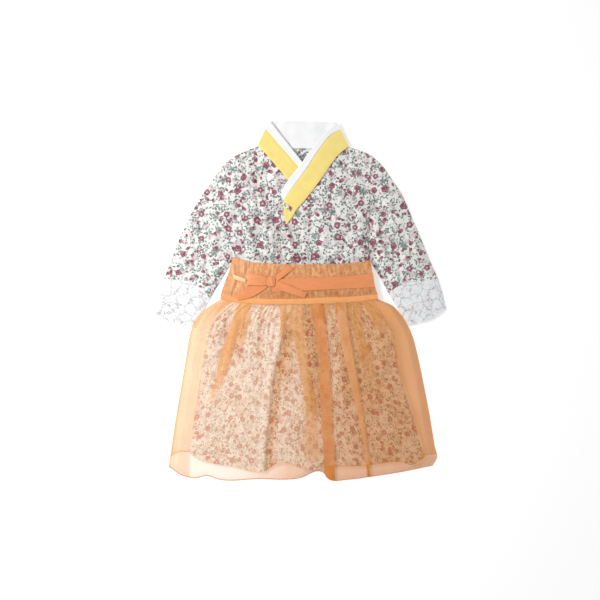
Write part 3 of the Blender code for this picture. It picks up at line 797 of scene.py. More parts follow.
    def dress(self, dye: Dye) -> None:
        """Printed lawn: matt, with a fine weave and faint slubs."""
        where = dye.cut_place()
        colour = self.drawn(dye, where)
        slub = dye.noise(dye.vector("MULTIPLY", where, (1.0, 0.18, 1.0)), 1.4, 2.0)
        dye.set(Base_Color=colour, Roughness=0.86, Sheen_Weight=0.12, Sheen_Roughness=0.5,
                Specular_IOR_Level=0.25)
        height = dye.plus(dye.times(weave(dye, where, 0.7), 0.4), dye.times(slub, 0.6))
        dye.bump(height, 0.12, 0.6)


@dataclass(frozen=True)
class LaceOverLawn(Finish):
    """White cotton lace sewn over the print, which shows only through its rows of eyelets."""

    lace: Triple = rgb(246, 247, 249)

    def dress(self, dye: Dye) -> None:
        """White lace with curling cords, and the print through the gaps beside them."""
        where = dye.cut_place()
        seen = FloralLawn("print_top").drawn(dye, where)
        distance = dye.borders(dye.jostled(where, 12.0, 4.0), 17.0)
        cord = dye.without(distance, 0.012, 0.05)
        gap = dye.times(dye.fade(distance, 0.02, 0.05), dye.without(distance, 0.08, 0.13))
        dots = dye.fade(dye.noise(where, 1.9, 1.0), 0.50, 0.60)
        open_work = dye.times(gap, dots)
        stray = dye.times(dye.fade(dye.noise(where, 3.2, 2.0), 0.60, 0.68), 0.75)
        veil = dye.math("MAXIMUM", open_work, stray)
        faint = dye.plus(dye.times(veil, 0.85), 0.10)
        colour = dye.blend(faint, self.lace, seen)
        colour = dye.blend(dye.times(cord, 0.34), colour, rgb(140, 148, 154))
        dye.set(Base_Color=colour, Roughness=0.8, Sheen_Weight=0.2, Sheen_Roughness=0.4,
                Specular_IOR_Level=0.3)
        net = weave(dye, where, 1.6)
        height = dye.plus(dye.times(cord, 0.7), dye.times(net, 0.3))
        dye.bump(height, 0.35, 0.7)


@dataclass(frozen=True)
class PlainCotton(Finish):
    """Plain woven cotton in one colour.

    Attributes:
        colour: The cloth.
        shade: The same, in its soft mottling and slubs.
    """

    colour: Triple = (0.8, 0.8, 0.8)
    shade: Triple = (0.7, 0.7, 0.7)

    def dress(self, dye: Dye) -> None:
        """Matt weave with soft mottling and slubs along the threads."""
        where = dye.cut_place()
        mottle = dye.fade(dye.noise(where, 14.0, 3.0), 0.35, 0.75)
        slub = dye.noise(dye.vector("MULTIPLY", where, (0.15, 1.0, 1.0)), 1.1, 2.0)
        colour = dye.blend(dye.times(mottle, 0.55), self.colour, self.shade)
        colour = dye.blend(dye.times(dye.fade(slub, 0.5, 0.8), 0.35), colour, self.shade)
        dye.set(Base_Color=colour, Roughness=0.78, Sheen_Weight=0.15, Sheen_Roughness=0.45,
                Specular_IOR_Level=0.3)
        relief = dye.plus(dye.times(weave(dye, where, 0.9), 0.5), dye.times(slub, 0.5))
        dye.bump(relief, 0.14, 0.6)


@dataclass(frozen=True)
class Organza(Finish):
    """Sheer orange organza.

    Attributes:
        colour: The yarn.
        deep: The yarn where many layers lie on each other.
        shaded: What the colour is multiplied by where shade is painted on it.
        cover: Share of the view that one layer hides.
    """

    colour: Triple = rgb(246, 192, 143)
    deep: Triple = rgb(234, 171, 105)
    shaded: Triple = (0.86, 0.64, 0.38)
    cover: float = 0.30

    def dress(self, dye: Dye) -> None:
        """Opacity 1 - (1 - cover)^fullness, with faint streaks along the threads, and painted shade in the
        colour.
        """
        where = dye.cut_place()
        streak = dye.noise(dye.vector("MULTIPLY", where, (1.0, 0.05, 1.0)), 3.0, 3.0, 0.6)
        fullness = dye.times(dye.carried("fullness"), dye.scaled(streak, 0.4, 0.80))
        clear = dye.math("POWER", 1.0 - self.cover, fullness)
        layered = dye.fade(fullness, 1.2, 2.9)
        colour = dye.blend(layered, self.colour, self.deep)
        # Painted shade: the colour moves towards the shaded one where the mesh's shade is high.
        painted_shading = dye.blend(dye.carried("shade"), (1.0, 1.0, 1.0), self.shaded)
        colour = dye.blend(1.0, colour, painted_shading, "MULTIPLY")
        dye.set(Base_Color=colour, Alpha=dye.math("SUBTRACT", 1.0, clear), Roughness=0.42,
                Sheen_Weight=0.2, Sheen_Roughness=0.35, Specular_IOR_Level=0.35)
        dye.bump(weave(dye, where, 1.1), 0.08, 0.5)


@dataclass(frozen=True)
class Ribbon(Finish):
    """Fine ribbed ribbon with a soft lustre.

    Attributes:
        colour: The ribbon.
        shade: The ribbon in its ribs and soft marks.
        lustre: Roughness of its surface.
    """

    colour: Triple = (0.8, 0.4, 0.2)
    shade: Triple = (0.7, 0.3, 0.15)
    lustre: float = 0.5

    def dress(self, dye: Dye) -> None:
        """Fine crosswise ribs, and soft marks along the ribbon."""
        where = dye.cut_place()
        x, _, _ = dye.split(where)
        rib = dye.scaled(dye.math("SINE", dye.times(x, TURN / 0.8)), 0.5, 0.5)
        mark = dye.noise(dye.vector("MULTIPLY", where, (0.25, 1.0, 1.0)), 5.0, 3.0)
        worn = dye.plus(dye.times(dye.fade(mark, 0.35, 0.75), 0.5), dye.times(rib, 0.12))
        colour = dye.blend(worn, self.colour, self.shade)
        dye.set(Base_Color=colour, Roughness=self.lustre, Sheen_Weight=0.25, Sheen_Roughness=0.4,
                Specular_IOR_Level=0.4)
        dye.bump(rib, 0.05, 0.5)


@dataclass(frozen=True)
class GatheredSheer(Finish):
    """Waistband: orange organza gathered over the print, which shows as soft blotches.

    Attributes:
        colour: The organza where it is thin.
        deep: The organza in its gathers.
    """

    colour: Triple = rgb(245, 182, 124)
    deep: Triple = rgb(218, 144, 92)

    def dress(self, dye: Dye) -> None:
        """Blurred print under orange, with streaks down the gathers."""
        where = dye.cut_place()
        x, y, _ = dye.split(where)
        streak = dye.noise(dye.join(x, dye.times(y, 0.55)), 6.5, 3.0, 0.55)
        blotch = dye.noise(where, 10.0, 3.0, 0.65)
        print_seen = FloralLawn("print_top").drawn(dye, where)
        thin = dye.plus(dye.times(streak, 0.6), dye.times(blotch, 0.4))
        sheer = dye.blend(dye.fade(thin, 0.36, 0.64), self.deep, self.colour)
        tinted = dye.blend(1.0, print_seen, sheer, "MULTIPLY")
        colour = dye.blend(0.26, sheer, tinted)
        pale = dye.without(dye.carried("fullness"), 0.3, 1.0)
        colour = dye.blend(dye.times(pale, 0.35), colour, rgb(248, 186, 138))
        # Painted shade from the mesh's shade: darker and more orange.
        painted_shading = dye.blend(dye.carried("shade"), (1.0, 1.0, 1.0), (0.86, 0.74, 0.62))
        colour = dye.blend(1.0, colour, painted_shading, "MULTIPLY")
        dye.set(Base_Color=colour, Roughness=0.55, Sheen_Weight=0.2, Sheen_Roughness=0.4,
                Specular_IOR_Level=0.35)
        relief = dye.plus(dye.times(streak, 0.7), dye.times(weave(dye, where, 1.1), 0.3))
        dye.bump(relief, 0.18, 0.6)


PRINT_TOP = FloralLawn("print_top", ink=0.92)
SKIRT_INKS = Inks(
    bloom=(rgb(150, 50, 16), rgb(204, 100, 52)),
    bud=(rgb(166, 66, 28), rgb(222, 138, 90)),
    leaf=(rgb(232, 220, 198), rgb(200, 184, 152), rgb(112, 104, 74), rgb(72, 68, 46)),
)
# The skirt print's tint is painted light through the organza, and its shaded colour is painted shade.
PRINT_SKIRT = FloralLawn("print_skirt", ground=rgb(252, 247, 243), zoom=0.84, ink=0.58,
                         tint=(1.0, 0.965, 0.90), shaded=(0.75, 0.465, 0.25), inks=SKIRT_INKS)
LACE = LaceOverLawn("lace")
YELLOW = PlainCotton("yellow", rgb(251, 229, 140), rgb(244, 214, 116))
WHITE = PlainCotton("white", rgb(250, 250, 250), rgb(238, 239, 240))
SHEER = Organza("organza")
SHEER_WAIST = GatheredSheer("organza_waist")
RIBBON = Ribbon("ribbon", rgb(238, 152, 97), rgb(226, 137, 84), 0.55)
PIPING = Ribbon("piping", rgb(247, 174, 108), rgb(238, 160, 96), 0.5)
TAB = Ribbon("tab", rgb(253, 216, 168), rgb(246, 196, 142), 0.5)


# ---- pieces

@dataclass
class Piece:
    """One sewn piece on its way into the scene.

    Attributes:
        name: Its name.
        finish: Its cloth.
        nodes: The frame's nodes that it stands for.
        draft: Its grids.
        held: How the cloth lies; not used.
        rests_on: What it lies on; not used.
    """

    name: str
    finish: Finish
    nodes: tuple[str, ...] = ()
    draft: Draft = field(default_factory=Draft)
    held: str = "laid"
    rests_on: tuple[str, ...] = ()

    def place(self, trims: Sequence[bpy.types.Object] = (), sheet: bool = True) -> bpy.types.Object:
        """Args:
            trims: Separate pieces that are sewn to it; not used.
            sheet: Whether it is a sheet of its own, and not a trim of another.

        Returns:
            The finished object.
        """
        thing = bpy.data.objects.new(self.name, self.draft.mesh(self.name))
        bpy.context.scene.collection.objects.link(thing)
        thing.data.materials.append(self.finish.material())
        # The organza throws no shadow; the shade channel paints the shade under it instead.
        thing.visible_shadow = not isinstance(self.finish, Organza)
        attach(thing, "root")
        if self.nodes:
            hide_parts(*self.nodes)
        if sheet:
            flat, area = self.draft.flat_cut()
            width, length = np.divide(flat, MM)
            LOG.info("%s: cut %.0f x %.0f mm, %.4f square metres", self.name, width, length, area)
        else:
            LOG.info("%s: trim", self.name)
        return thing


def lying_panel(piece: Piece, plan: Array, level: Array | float, wall: float,
                cut: Array | None = None, fullness: Array | float = 1.0,
                shade: Array | float = 0.0) -> None:
    """Place a panel whose underside lies at its level; its cut is its plan unless another is given."""
    height = np.broadcast_to(level, plan.shape[:2]) + wall
    piece.draft.shell(raised(plan, height), plan if cut is None else cut, wall, fullness, shade)
    piece.place()


# ---- jacket

def sewn(node: str, kind: str, finish: Finish, rests_on: str = "", held: str = "laid") -> Piece:
    """A piece that stands for one node and lies on another piece's node or on nothing."""
    return Piece(f"{node}_{kind}", finish, (node,), held=held, rests_on=(rests_on,) if rests_on else ())


@dataclass
class Jacket:
    """Wrap jacket of printed lawn, with its sleeves and lace cuffs.

    Attributes:
        wall: Thickness of the lawn.
        band: Thickness of the folded collar bands; not used.
        settle: How far an edge sinks to meet the panel that it is sewn to.
        seam_dip: Depth of the groove at the armholes.
    """

    wall: float = 0.7
    band: float = 1.0
    settle: float = 0.8
    seam_dip: float = 0.5
    front_level: float = 1.8
    collar_level: float = 3.6
    front_right: Outline = Outline(
        top=((-86, 239.5), (-68.5, 246.2), (-62.7, 251)),
        bottom=((-118, 13), (22, 13)),
        left=(*ARMHOLE_RIGHT, *SIDE_RIGHT),
        right=((-62.7, 251), (-44, 230), (-13, 195), (5, 174), (20, 148), (22, 110), (22, 13)),
    )
    front_left: Outline = Outline(
        top=((72, 249), (79.5, 244), (100, 238), (116.5, 230)),
        bottom=((-33, 13), (119, 13)),
        left=((72, 249), (56, 235.4), (46.1, 222.3), (23.4, 189.7), (0.5, 160.4), (-12, 150),
              (-27.8, 143), (-30.4, 119.7), (-31, 90), (-33, 13)),
        right=(*ARMHOLE_LEFT, *SIDE_LEFT),
    )
    back: Outline = Outline(
        top=((-86, 239.5), (-67, 246), (-40, 244.5), (0, 243), (40, 243.5), (78, 244.5), (100, 238),
             (116.5, 230)),
        bottom=((-118, 13), (119, 13)),
        left=(*ARMHOLE_RIGHT, *SIDE_RIGHT),
        right=(*ARMHOLE_LEFT, *SIDE_LEFT),
    )
    sleeve_right: Outline = Outline(
        top=ARMHOLE_RIGHT,
        bottom=((-218, 33.3), (-196, 32.5), (-170, 26.9), (-155, 16), (-144, 2.5)),
        left=((-86, 239.5), (-113.6, 224.6), (-130, 207), (-144.5, 186.1), (-161, 162.2),
              (-177.6, 132.8), (-194.1, 96.2), (-206.1, 65), (-218, 33.3)),
        right=((-108, 63), (-139.7, 9.9), (-144, 2.5)),
    )
    sleeve_left: Outline = Outline(
        top=ARMHOLE_LEFT[::-1],
        bottom=((142.4, 8.2), (152, 19), (168, 26), (193.6, 31), (221.5, 33)),
        left=((112.5, 62), (131, 31), (142.4, 8.2)),
        right=((116.5, 230), (132.6, 213.9), (149, 190.5), (160, 174.7), (178, 135), (194.9, 95.7),
               (208, 63), (221.5, 33)),
    )
    cuff_right: Outline = Outline(
        top=((-218, 33.2), (-196, 32.4), (-170, 26.8), (-155, 15.9), (-144, 2.4)),
        bottom=((-233.9, -18.4), (-221.4, -29.9), (-200.2, -35.5), (-180, -42), (-168, -44.5)),
        left=((-218, 33.2), (-225.5, 10), (-233.9, -18.4)),
        right=((-144, 2.4), (-156, -21), (-168, -44.5)),
    )
    cuff_left: Outline = Outline(
        top=((142.4, 8.1), (152, 18.9), (168, 25.9), (193.6, 30.9), (221.5, 32.9)),
        bottom=((172, -42), (190, -37), (207.4, -32.2), (222, -24), (233.9, -14)),
        left=((142.4, 8.1), (158, -17), (172, -42)),
        right=((221.5, 32.9), (228, 12), (233.9, -14)),
    )
    front_creases: tuple[Crease, ...] = folds(
        (-73, 226, -70, 74, 7.0, 1.6, 4.0, Fold.TROUGH), (-62, 232, -54, 96, 6.5, 2.2, -5.0),
        (-79, 176, -66, 92, 4.5, 1.5, 3.0), (-56, 150, -47, 66, 5.0, 1.5, 4.0),
        (-44, 214, -34, 150, 7.0, 1.2, -3.0), (-46, 122, -24, 70, 3.2, 1.8, 2.0, Fold.TUCK),
        (-60, 112, -38, 68, 3.0, 1.4, 2.0, Fold.TUCK), (-88, 96, -60, 66, 4.0, 1.3, -3.0),
    )
    overlap_creases: tuple[Crease, ...] = folds(
        (-30, 128, -8, 86, 3.2, 2.2, 2.0, Fold.TUCK, 0.12, 0.4),
        (-22, 122, -16, 72, 3.0, 1.5, 2.0, Fold.TUCK, 0.2, 0.3), (-4, 138, 12, 70, 6.0, 1.5, 3.0),
        (92, 236, 98, 120, 8.0, 1.8, -4.0), (106, 190, 100, 80, 5.0, 1.5, 4.0, Fold.TROUGH),
        (104, 120, 72, 66, 5.0, 1.6, 4.0), (70, 214, 56, 92, 10.0, 1.3, 6.0),
        (34, 176, 44, 72, 9.0, 1.1, -5.0), (84, 108, 60, 70, 4.5, 1.1, 3.0, Fold.TROUGH),
    )
    sleeve_right_creases: tuple[Crease, ...] = folds(
        (-96, 226, -150, 120, 9.0, 1.8, 6.0), (-92, 190, -128, 90, 7.0, 1.7, -5.0),
        (-98, 120, -140, 70, 5.0, 1.6, 3.0, Fold.TROUGH), (-106, 84, -146, 34, 4.5, 1.5, 3.0),
        (-168, 136, -196, 60, 6.0, 1.2, 4.0), (-140, 96, -176, 44, 6.0, 1.0, -4.0, Fold.TROUGH),
    )
    sleeve_left_creases: tuple[Crease, ...] = folds(
        (122, 216, 168, 110, 9.0, 1.8, -6.0), (118, 182, 138, 88, 7.0, 1.5, 5.0, Fold.TROUGH),
        (116, 110, 150, 56, 5.0, 1.8, -3.0), (114, 76, 148, 26, 4.0, 1.4, -3.0, Fold.TROUGH),
        (178, 124, 204, 54, 6.0, 1.2, -4.0), (150, 96, 180, 42, 6.0, 1.0, 4.0),
    )

    # Lines of painted shade on the print, with no relief of their own.
    shaded_folds: tuple[Crease, ...] = folds(
        (-74, 232, -72, 66, 5.5, 0.75, 4.0, Fold.RIDGE, 0.2, 0.05),
        (-60, 150, -50, 64, 3.5, 0.45, 2.0, Fold.RIDGE, 0.3, 0.05),
        (-48, 96, -30, 68, 3.0, 0.75, 2.0, Fold.RIDGE, 0.3, 0.1),
        (-30, 126, -10, 88, 3.0, 0.85, 2.0, Fold.RIDGE, 0.15, 0.3),
        (-40, 124, -32, 72, 4.0, 0.55, -2.0, Fold.RIDGE, 0.3, 0.1),
        (-20, 104, -2, 64, 3.0, 0.45, 2.0, Fold.RIDGE, 0.3, 0.1),
        (114, 210, 110.5, 66, 2.6, 0.85, 0.0, Fold.RIDGE, 0.5, 0.03),
        (102, 150, 104, 66, 5.0, 0.45, 2.0, Fold.RIDGE, 0.5, 0.1),
        (60, 110, 78, 66, 4.0, 0.30, 2.0, Fold.RIDGE, 0.3, 0.1), (124, 120, 150, 50, 4.0, 0.40, -2.0),
        (-100, 116, -138, 60, 4.0, 0.40, 2.0), (-26, 190, 2, 60, 34.0, 0.16, 0.0, Fold.RIDGE, 0.4, 0.02),
    )

    def shade(self, x: Array, y: Array) -> Array:
        """Painted shade of the upper surfaces in their deeper folds, in the overlap and above the waistband,
        with faint random blotches.
        """
        shade_above_waist = ease((82.0 - y) / 18.0) * ease((118.0 - np.abs(x)) / 8.0)
        total = creased(self.shaded_folds)(x, y) + 0.25 * shade_above_waist
        return np.clip(total + ripples(x, y, 77, 34.0, 0.05), 0.0, 1.2)

    def build_back(self) -> None:
        """Back panel: flat, and up over the back of the waistband."""
        piece = sewn("back_panel", "cloth", PRINT_TOP, "waistband_back")
        plan = patch(self.back, parts(70, 0.003), parts(60, 0.003))
        lying_panel(piece, plan, waist_lift(*places(plan)), self.wall, cut=plan + np.array([900.0, 300.0]))

    def seam_groove(self, x: Array, y: Array) -> Array:
        """Depth of the armhole seams: a narrow bell about each seam line."""
        total = np.zeros_like(x)
        for line in (ARMHOLE_RIGHT, ARMHOLE_LEFT):
            path = smooth_curve(line)
            order = np.argsort(path[:, 1])
            beside = x - np.interp(y, path[order, 1], path[order, 0])
            below = ease((y - 40.0) / 20.0)
            total = total + bell(beside, 1.5) * below
        return -self.seam_dip * total

    def build_fronts(self) -> None:
        """Underlap and overlap."""
        cases = (
            ("front_right", self.front_right, self.front_creases, False, (124, 152), (0.0, 0.0), 3),
            ("front_left", self.front_left, self.overlap_creases, True, (184, 192), (410.0, 120.0), 4),
        )
        for name, sides, creases, over, (columns, rows), shift, seed in cases:
            piece = sewn(name, "cloth", PRINT_TOP, "back_panel")
            across = parts(columns, 0.0025)
            down = parts(rows, 0.0025)
            plan = patch(sides, across, down)
            x, y = places(plan)
            covered = ease((y - 62.0) / 14.0)
            waves = ripples(x, y, seed, 46.0, 0.35) + ripples(x, y, seed + 9, 15.0, 0.12)
            under_wrap = 1.0 if over else 1.0 - ease((x + 36.0) / 10.0)
            relief = np.maximum(creased(creases)(x, y) + waves, -0.8) * covered * under_wrap
            level = self.front_level + waist_lift(x, y) + relief
            if over:
                level = level + wrap_lift(x, y)
            side = 1.0 - across[None, :] if over else across[None, :]
            below_arm = ease((66.0 - y) / 10.0)
            level = level - self.settle * (1.0 - ease(side / 0.09)) * below_arm
            level = level - self.settle * (1.0 - ease(down[:, None] / 0.04))
            level = level + self.seam_groove(x, y)
            lying_panel(piece, plan, level, self.wall, cut=plan + np.array(shift), shade=self.shade(x, y))

    def tube(self, piece: Piece, sides: Outline, columns: int, rows: int, crown: Callable, lift: Callable,
             fold_left: bool, shift: tuple[float, float]) -> None:
        """Flattened sleeve or cuff, open at both ends.

        Each ring runs from the underarm seam along the underside, round the outer fold and back along
        the top. Across it, the top and underside close to their middle height by (1 - t^8)^(1/2).

        Args:
            piece: The piece that takes the grids.
            sides: The plan's edges.
            columns: Steps across one side.
            rows: Steps down.
            crown: Height of the top from x, y, across and down.
            lift: Height of the underside from x, y and down.
            fold_left: Whether the outer fold is the left edge.
            shift: Place of its cut.
        """
        t = np.sin(np.linspace(-0.5, 0.5, columns + 1) * math.pi)
        t = 0.6 * t + 0.4 * np.linspace(-1.0, 1.0, columns + 1)
        across = 0.5 + 0.5 * t
        down = parts(rows, 0.004)
        plan = patch(sides, across, down)
        x, y = places(plan)
        closing = np.sqrt(np.clip(1.0 - t ** 8, 0.0, 1.0))[None, :]
        low = lift(x, y, down[:, None])
        high = crown(x, y, across[None, :], down[:, None]) + low
        middle = low + 1.25
        upper = raised(plan, middle + (high - middle) * closing)
        lower = raised(plan, middle - (middle - low) * closing)
        ahead = slice(None)
        astern = slice(None, None, -1)
        if fold_left:
            out, back, fold = astern, slice(1, None), x[:, :1]
        else:
            out, back, fold = ahead, slice(-2, None, -1), x[:, -1:]
        ring = np.concatenate([lower[:, out], upper[:, back]], axis=1)
        cut_x = np.concatenate([2 * fold - x[:, out], x[:, back]], axis=1)
        cut_y = np.concatenate([y[:, out], y[:, back]], axis=1)
        ring[:, -1] = ring[:, 0]
        inward = np.zeros_like(ring)
        tangent = np.roll(ring[:, :-1], -1, axis=1) - np.roll(ring[:, :-1], 1, axis=1)
        turn = -1.0 if fold_left else 1.0
        sideways = np.cross(np.gradient(ring[:, :-1], axis=0), tangent)
        sideways /= np.maximum(np.linalg.norm(sideways, axis=-1, keepdims=True), 1e-9)
        inward[:, :-1] = turn * sideways
        inward[:, -1] = inward[:, 0]
        cut = paired(cut_x, cut_y) + shift
        # Painted shade from the jacket's shade, on sleeves and lace cuffs alike.
        shade = self.shade(ring[..., 0], ring[..., 1])
        outer = piece.draft.grid(ring, cut, shade=shade, ring=True)
        inner = piece.draft.grid(ring + inward * 0.45, cut, shade=shade, ring=True)
        piece.draft.skin(outer, outward=fold_left, cloth=True)
        piece.draft.skin(inner, outward=not fold_left)
        home = ahead if fold_left else astern
        piece.draft.wall(outer[0][out], inner[0][out])
        piece.draft.wall(outer[-1][home], inner[-1][home])

    def build_sleeves(self) -> None:
        """Both sleeves, as tubes with their outer fold along the arm."""
        cases = (
            ("sleeve_right", self.sleeve_right, self.sleeve_right_creases, True, (-60.0, 40.0), 21),
            ("sleeve_left", self.sleeve_left, self.sleeve_left_creases, False, (230.0, -90.0), 27),
        )
        for name, sides, creases, fold_left, shift, seed in cases:
            piece = sewn(name, "cloth", PRINT_TOP)

            def crown(x: Array, y: Array, across: Array, down: Array,
                      creases: tuple[Crease, ...] = creases, seed: int = seed) -> Array:
                """Upper surface: a low dome across, with creases that end before both seams."""
                dome = (0.1 + 1.8 * ease(down / 0.4)) * (1 - (2 * across - 1) ** 2)
                fade_out = ease(down / 0.05) * ease((1 - down) / 0.06)
                waves = ripples(x, y, seed, 40.0, 0.35) + ripples(x, y, seed + 5, 14.0, 0.1)
                relief = np.maximum(creased(creases)(x, y) + waves, -0.7) * fade_out
                return 2.5 + dome + relief + self.seam_groove(x, y)

            def lift(x: Array, y: Array, down: Array) -> Array:
                """Underside: carried up beside the body where that lies on the waistband."""
                return waist_lift(x, y) * (1 - ease(down / 0.22))

            self.tube(piece, sides, 64, 110, crown, lift, fold_left, shift)
            piece.place()

    def build_cuffs(self) -> None:
        """Both lace cuffs."""
        cases = (
            ("cuff_right", self.cuff_right, True, (-60.0, 40.0), 31),
            ("cuff_left", self.cuff_left, False, (230.0, -90.0), 37),
        )
        for name, sides, fold_left, shift, seed in cases:
            piece = sewn(name, "lace", LACE)

            def crown(x: Array, y: Array, across: Array, down: Array,
                      seed: int = seed) -> Array:
                """Upper surface: the sleeve's dome, which sinks towards the hem."""
                dome = (1.9 - 1.0 * down) * (1 - (2 * across - 1) ** 2)
                return 2.5 + dome + ripples(x, y, seed, 30.0, 0.3) * ease(down / 0.2)

            def lift(x: Array, y: Array, down: Array) -> Array:
                """Underside: flat on the ground."""
                return np.zeros_like(x)

            self.tube(piece, sides, 56, 40, crown, lift, fold_left, shift)
            piece.place()


# ---- collar

@dataclass
class Collar:
    """Crossed collar: yellow bands, white edging, the back neck facing and the closing tab."""

    wall: float = 1.0
    level: float = 3.6
    right: Outline = Outline(
        top=((-55.2, 274.2), (-1.3, 212.3), (14, 194.7)),
        bottom=((-67.2, 248.5), (-17.6, 191), (-1, 172)),
    )
    right_edging: Outline = Outline(
        top=((-48.6, 287.2), (3.5, 220.5), (19, 200.6)),
        bottom=((-55, 274.4), (-1.1, 212.5), (14.2, 194.9)),
    )
    left: Outline = Outline(
        top=((64.8, 272.4), (47.7, 262.9), (34.6, 246.6), (8.5, 207.4), (-14.4, 176.3), (-25.8, 160),
             (-25.6, 140.5), (-22.6, 123)),
        bottom=((78, 245.6), (60.8, 231.8), (50.9, 218.7), (28.2, 186.1), (5.3, 156.8), (-6.2, 143.7),
                (-10.4, 135.7), (-20.5, 122)),
    )
    left_edging: Outline = Outline(
        top=((59.2, 284.8), (18.2, 241.6), (3.5, 220.5), (-29.1, 173.1), (-30.7, 168.2), (-28.4, 160.6)),
        bottom=((64.7, 272.7), (47.5, 263.2), (34.4, 246.9), (8.3, 207.7), (-14.6, 176.5), (-26, 160.2)),
    )
    back: Outline = Outline(
        top=((-54.5, 273.6), (64, 272)),
        bottom=((-66, 247), (-40, 245.5), (0, 244), (40, 244.5), (76.5, 245.6)),
    )
    back_edging: Outline = Outline(
        top=((-47.6, 286.4), (0, 287), (58.6, 284.6)),
        bottom=((-54.3, 274.0), (63.8, 272.4)),
    )
    facing: Outline = Outline(
        top=((-46, 286.2), (0, 286.8), (57.4, 284.4)),
        bottom=((-34, 243.6), (0, 243), (34, 243.4)),
    )
    tab: Outline = Outline(
        top=((-24.6, 155), (-12.6, 147.5)),
        bottom=((-26, 150), (-16, 141.5)),
    )

    def strip(self, name: str, finish: Finish, sides: Outline, level: float, rise: Rise, rests_on: str,
              columns: int = 90) -> None:
        """One band, ruled from its inner edge to its outer one, with edges that round down.

        Args:
            name: The frame's node.
            finish: Its cloth.
            sides: Its inner and outer edges, from the shoulder to the free end.
            level: Height of its underside.
            rise: What it climbs over.
            rests_on: What it lies on.
            columns: Steps along it.
        """
        at = parts(columns, 0.004)
        over = np.array([0.0, 0.03, 0.1, 0.25, 0.4, 0.55, 0.7, 0.82, 0.9, 0.97, 1.0])
        inner = along(sides.top, at)
        outer = along(sides.bottom, at)
        plan = inner[:, None] + (outer - inner)[:, None] * over[None, :, None]
        x, y = places(plan)
        edge = np.minimum(over, 1 - over)[None, :]
        roll = 0.45 * bell(edge - 0.14, 0.08) - 0.35 * (1 - ease(edge / 0.06))
        height = level + rise(x, y) + self.wall + roll * 0.6
        reach = lengths(inner)
        width = float(np.median(np.hypot(*(outer - inner).T)))
        cut = paired(reach[:, None], width * over[None, :])
        piece = sewn(name, "band", finish, rests_on)
        piece.draft.shell(raised(plan, height), cut, self.wall)
        piece.place()

    def build(self) -> None:
        """All the collar's pieces, from the back of the neck forwards."""
        for name, finish, sides, level in (("collar_back", YELLOW, self.back, 0.0),
                                           ("edging_back", WHITE, self.back_edging, 0.0),
                                           ("neck_facing", WHITE, self.facing, 1.6)):
            below = "collar_back" if level else "floor"
            piece = sewn(name, "band", finish, below)
            plan = patch(sides, parts(70, 0.004), parts(18, 0.01))
            x, y = places(plan)
            soft = ripples(x, 0.25 * y, 51, 20.0, 0.22) + 0.25 if level else np.zeros_like(x)
            lying_panel(piece, plan, level + soft, self.wall)

        def flat(x: Array, y: Array) -> Array:
            """No rise."""
            return np.zeros_like(x)

        self.strip("collar_right", YELLOW, self.right, self.level, flat, "front_right")
        self.strip("edging_right", WHITE, self.right_edging, self.level, flat, "front_right")
        self.strip("collar_left", YELLOW, self.left, self.level, wrap_lift, "front_left", 130)
        self.strip("edging_left", WHITE, self.left_edging, self.level, wrap_lift, "front_left", 120)
        piece = sewn("closing_tab", "cloth", PRINT_TOP, "collar_left")
        plan = patch(self.tab, parts(16, 0.01), parts(10, 0.02))
        x, y = places(plan)
        bulge = 0.6 * bell(x + 20, 5)
        lying_panel(piece, plan, self.level + self.wall + 0.4 + wrap_lift(x, y) + bulge, 0.7,
                    cut=plan + np.array([35.0, 8.0]))


# ---- waist

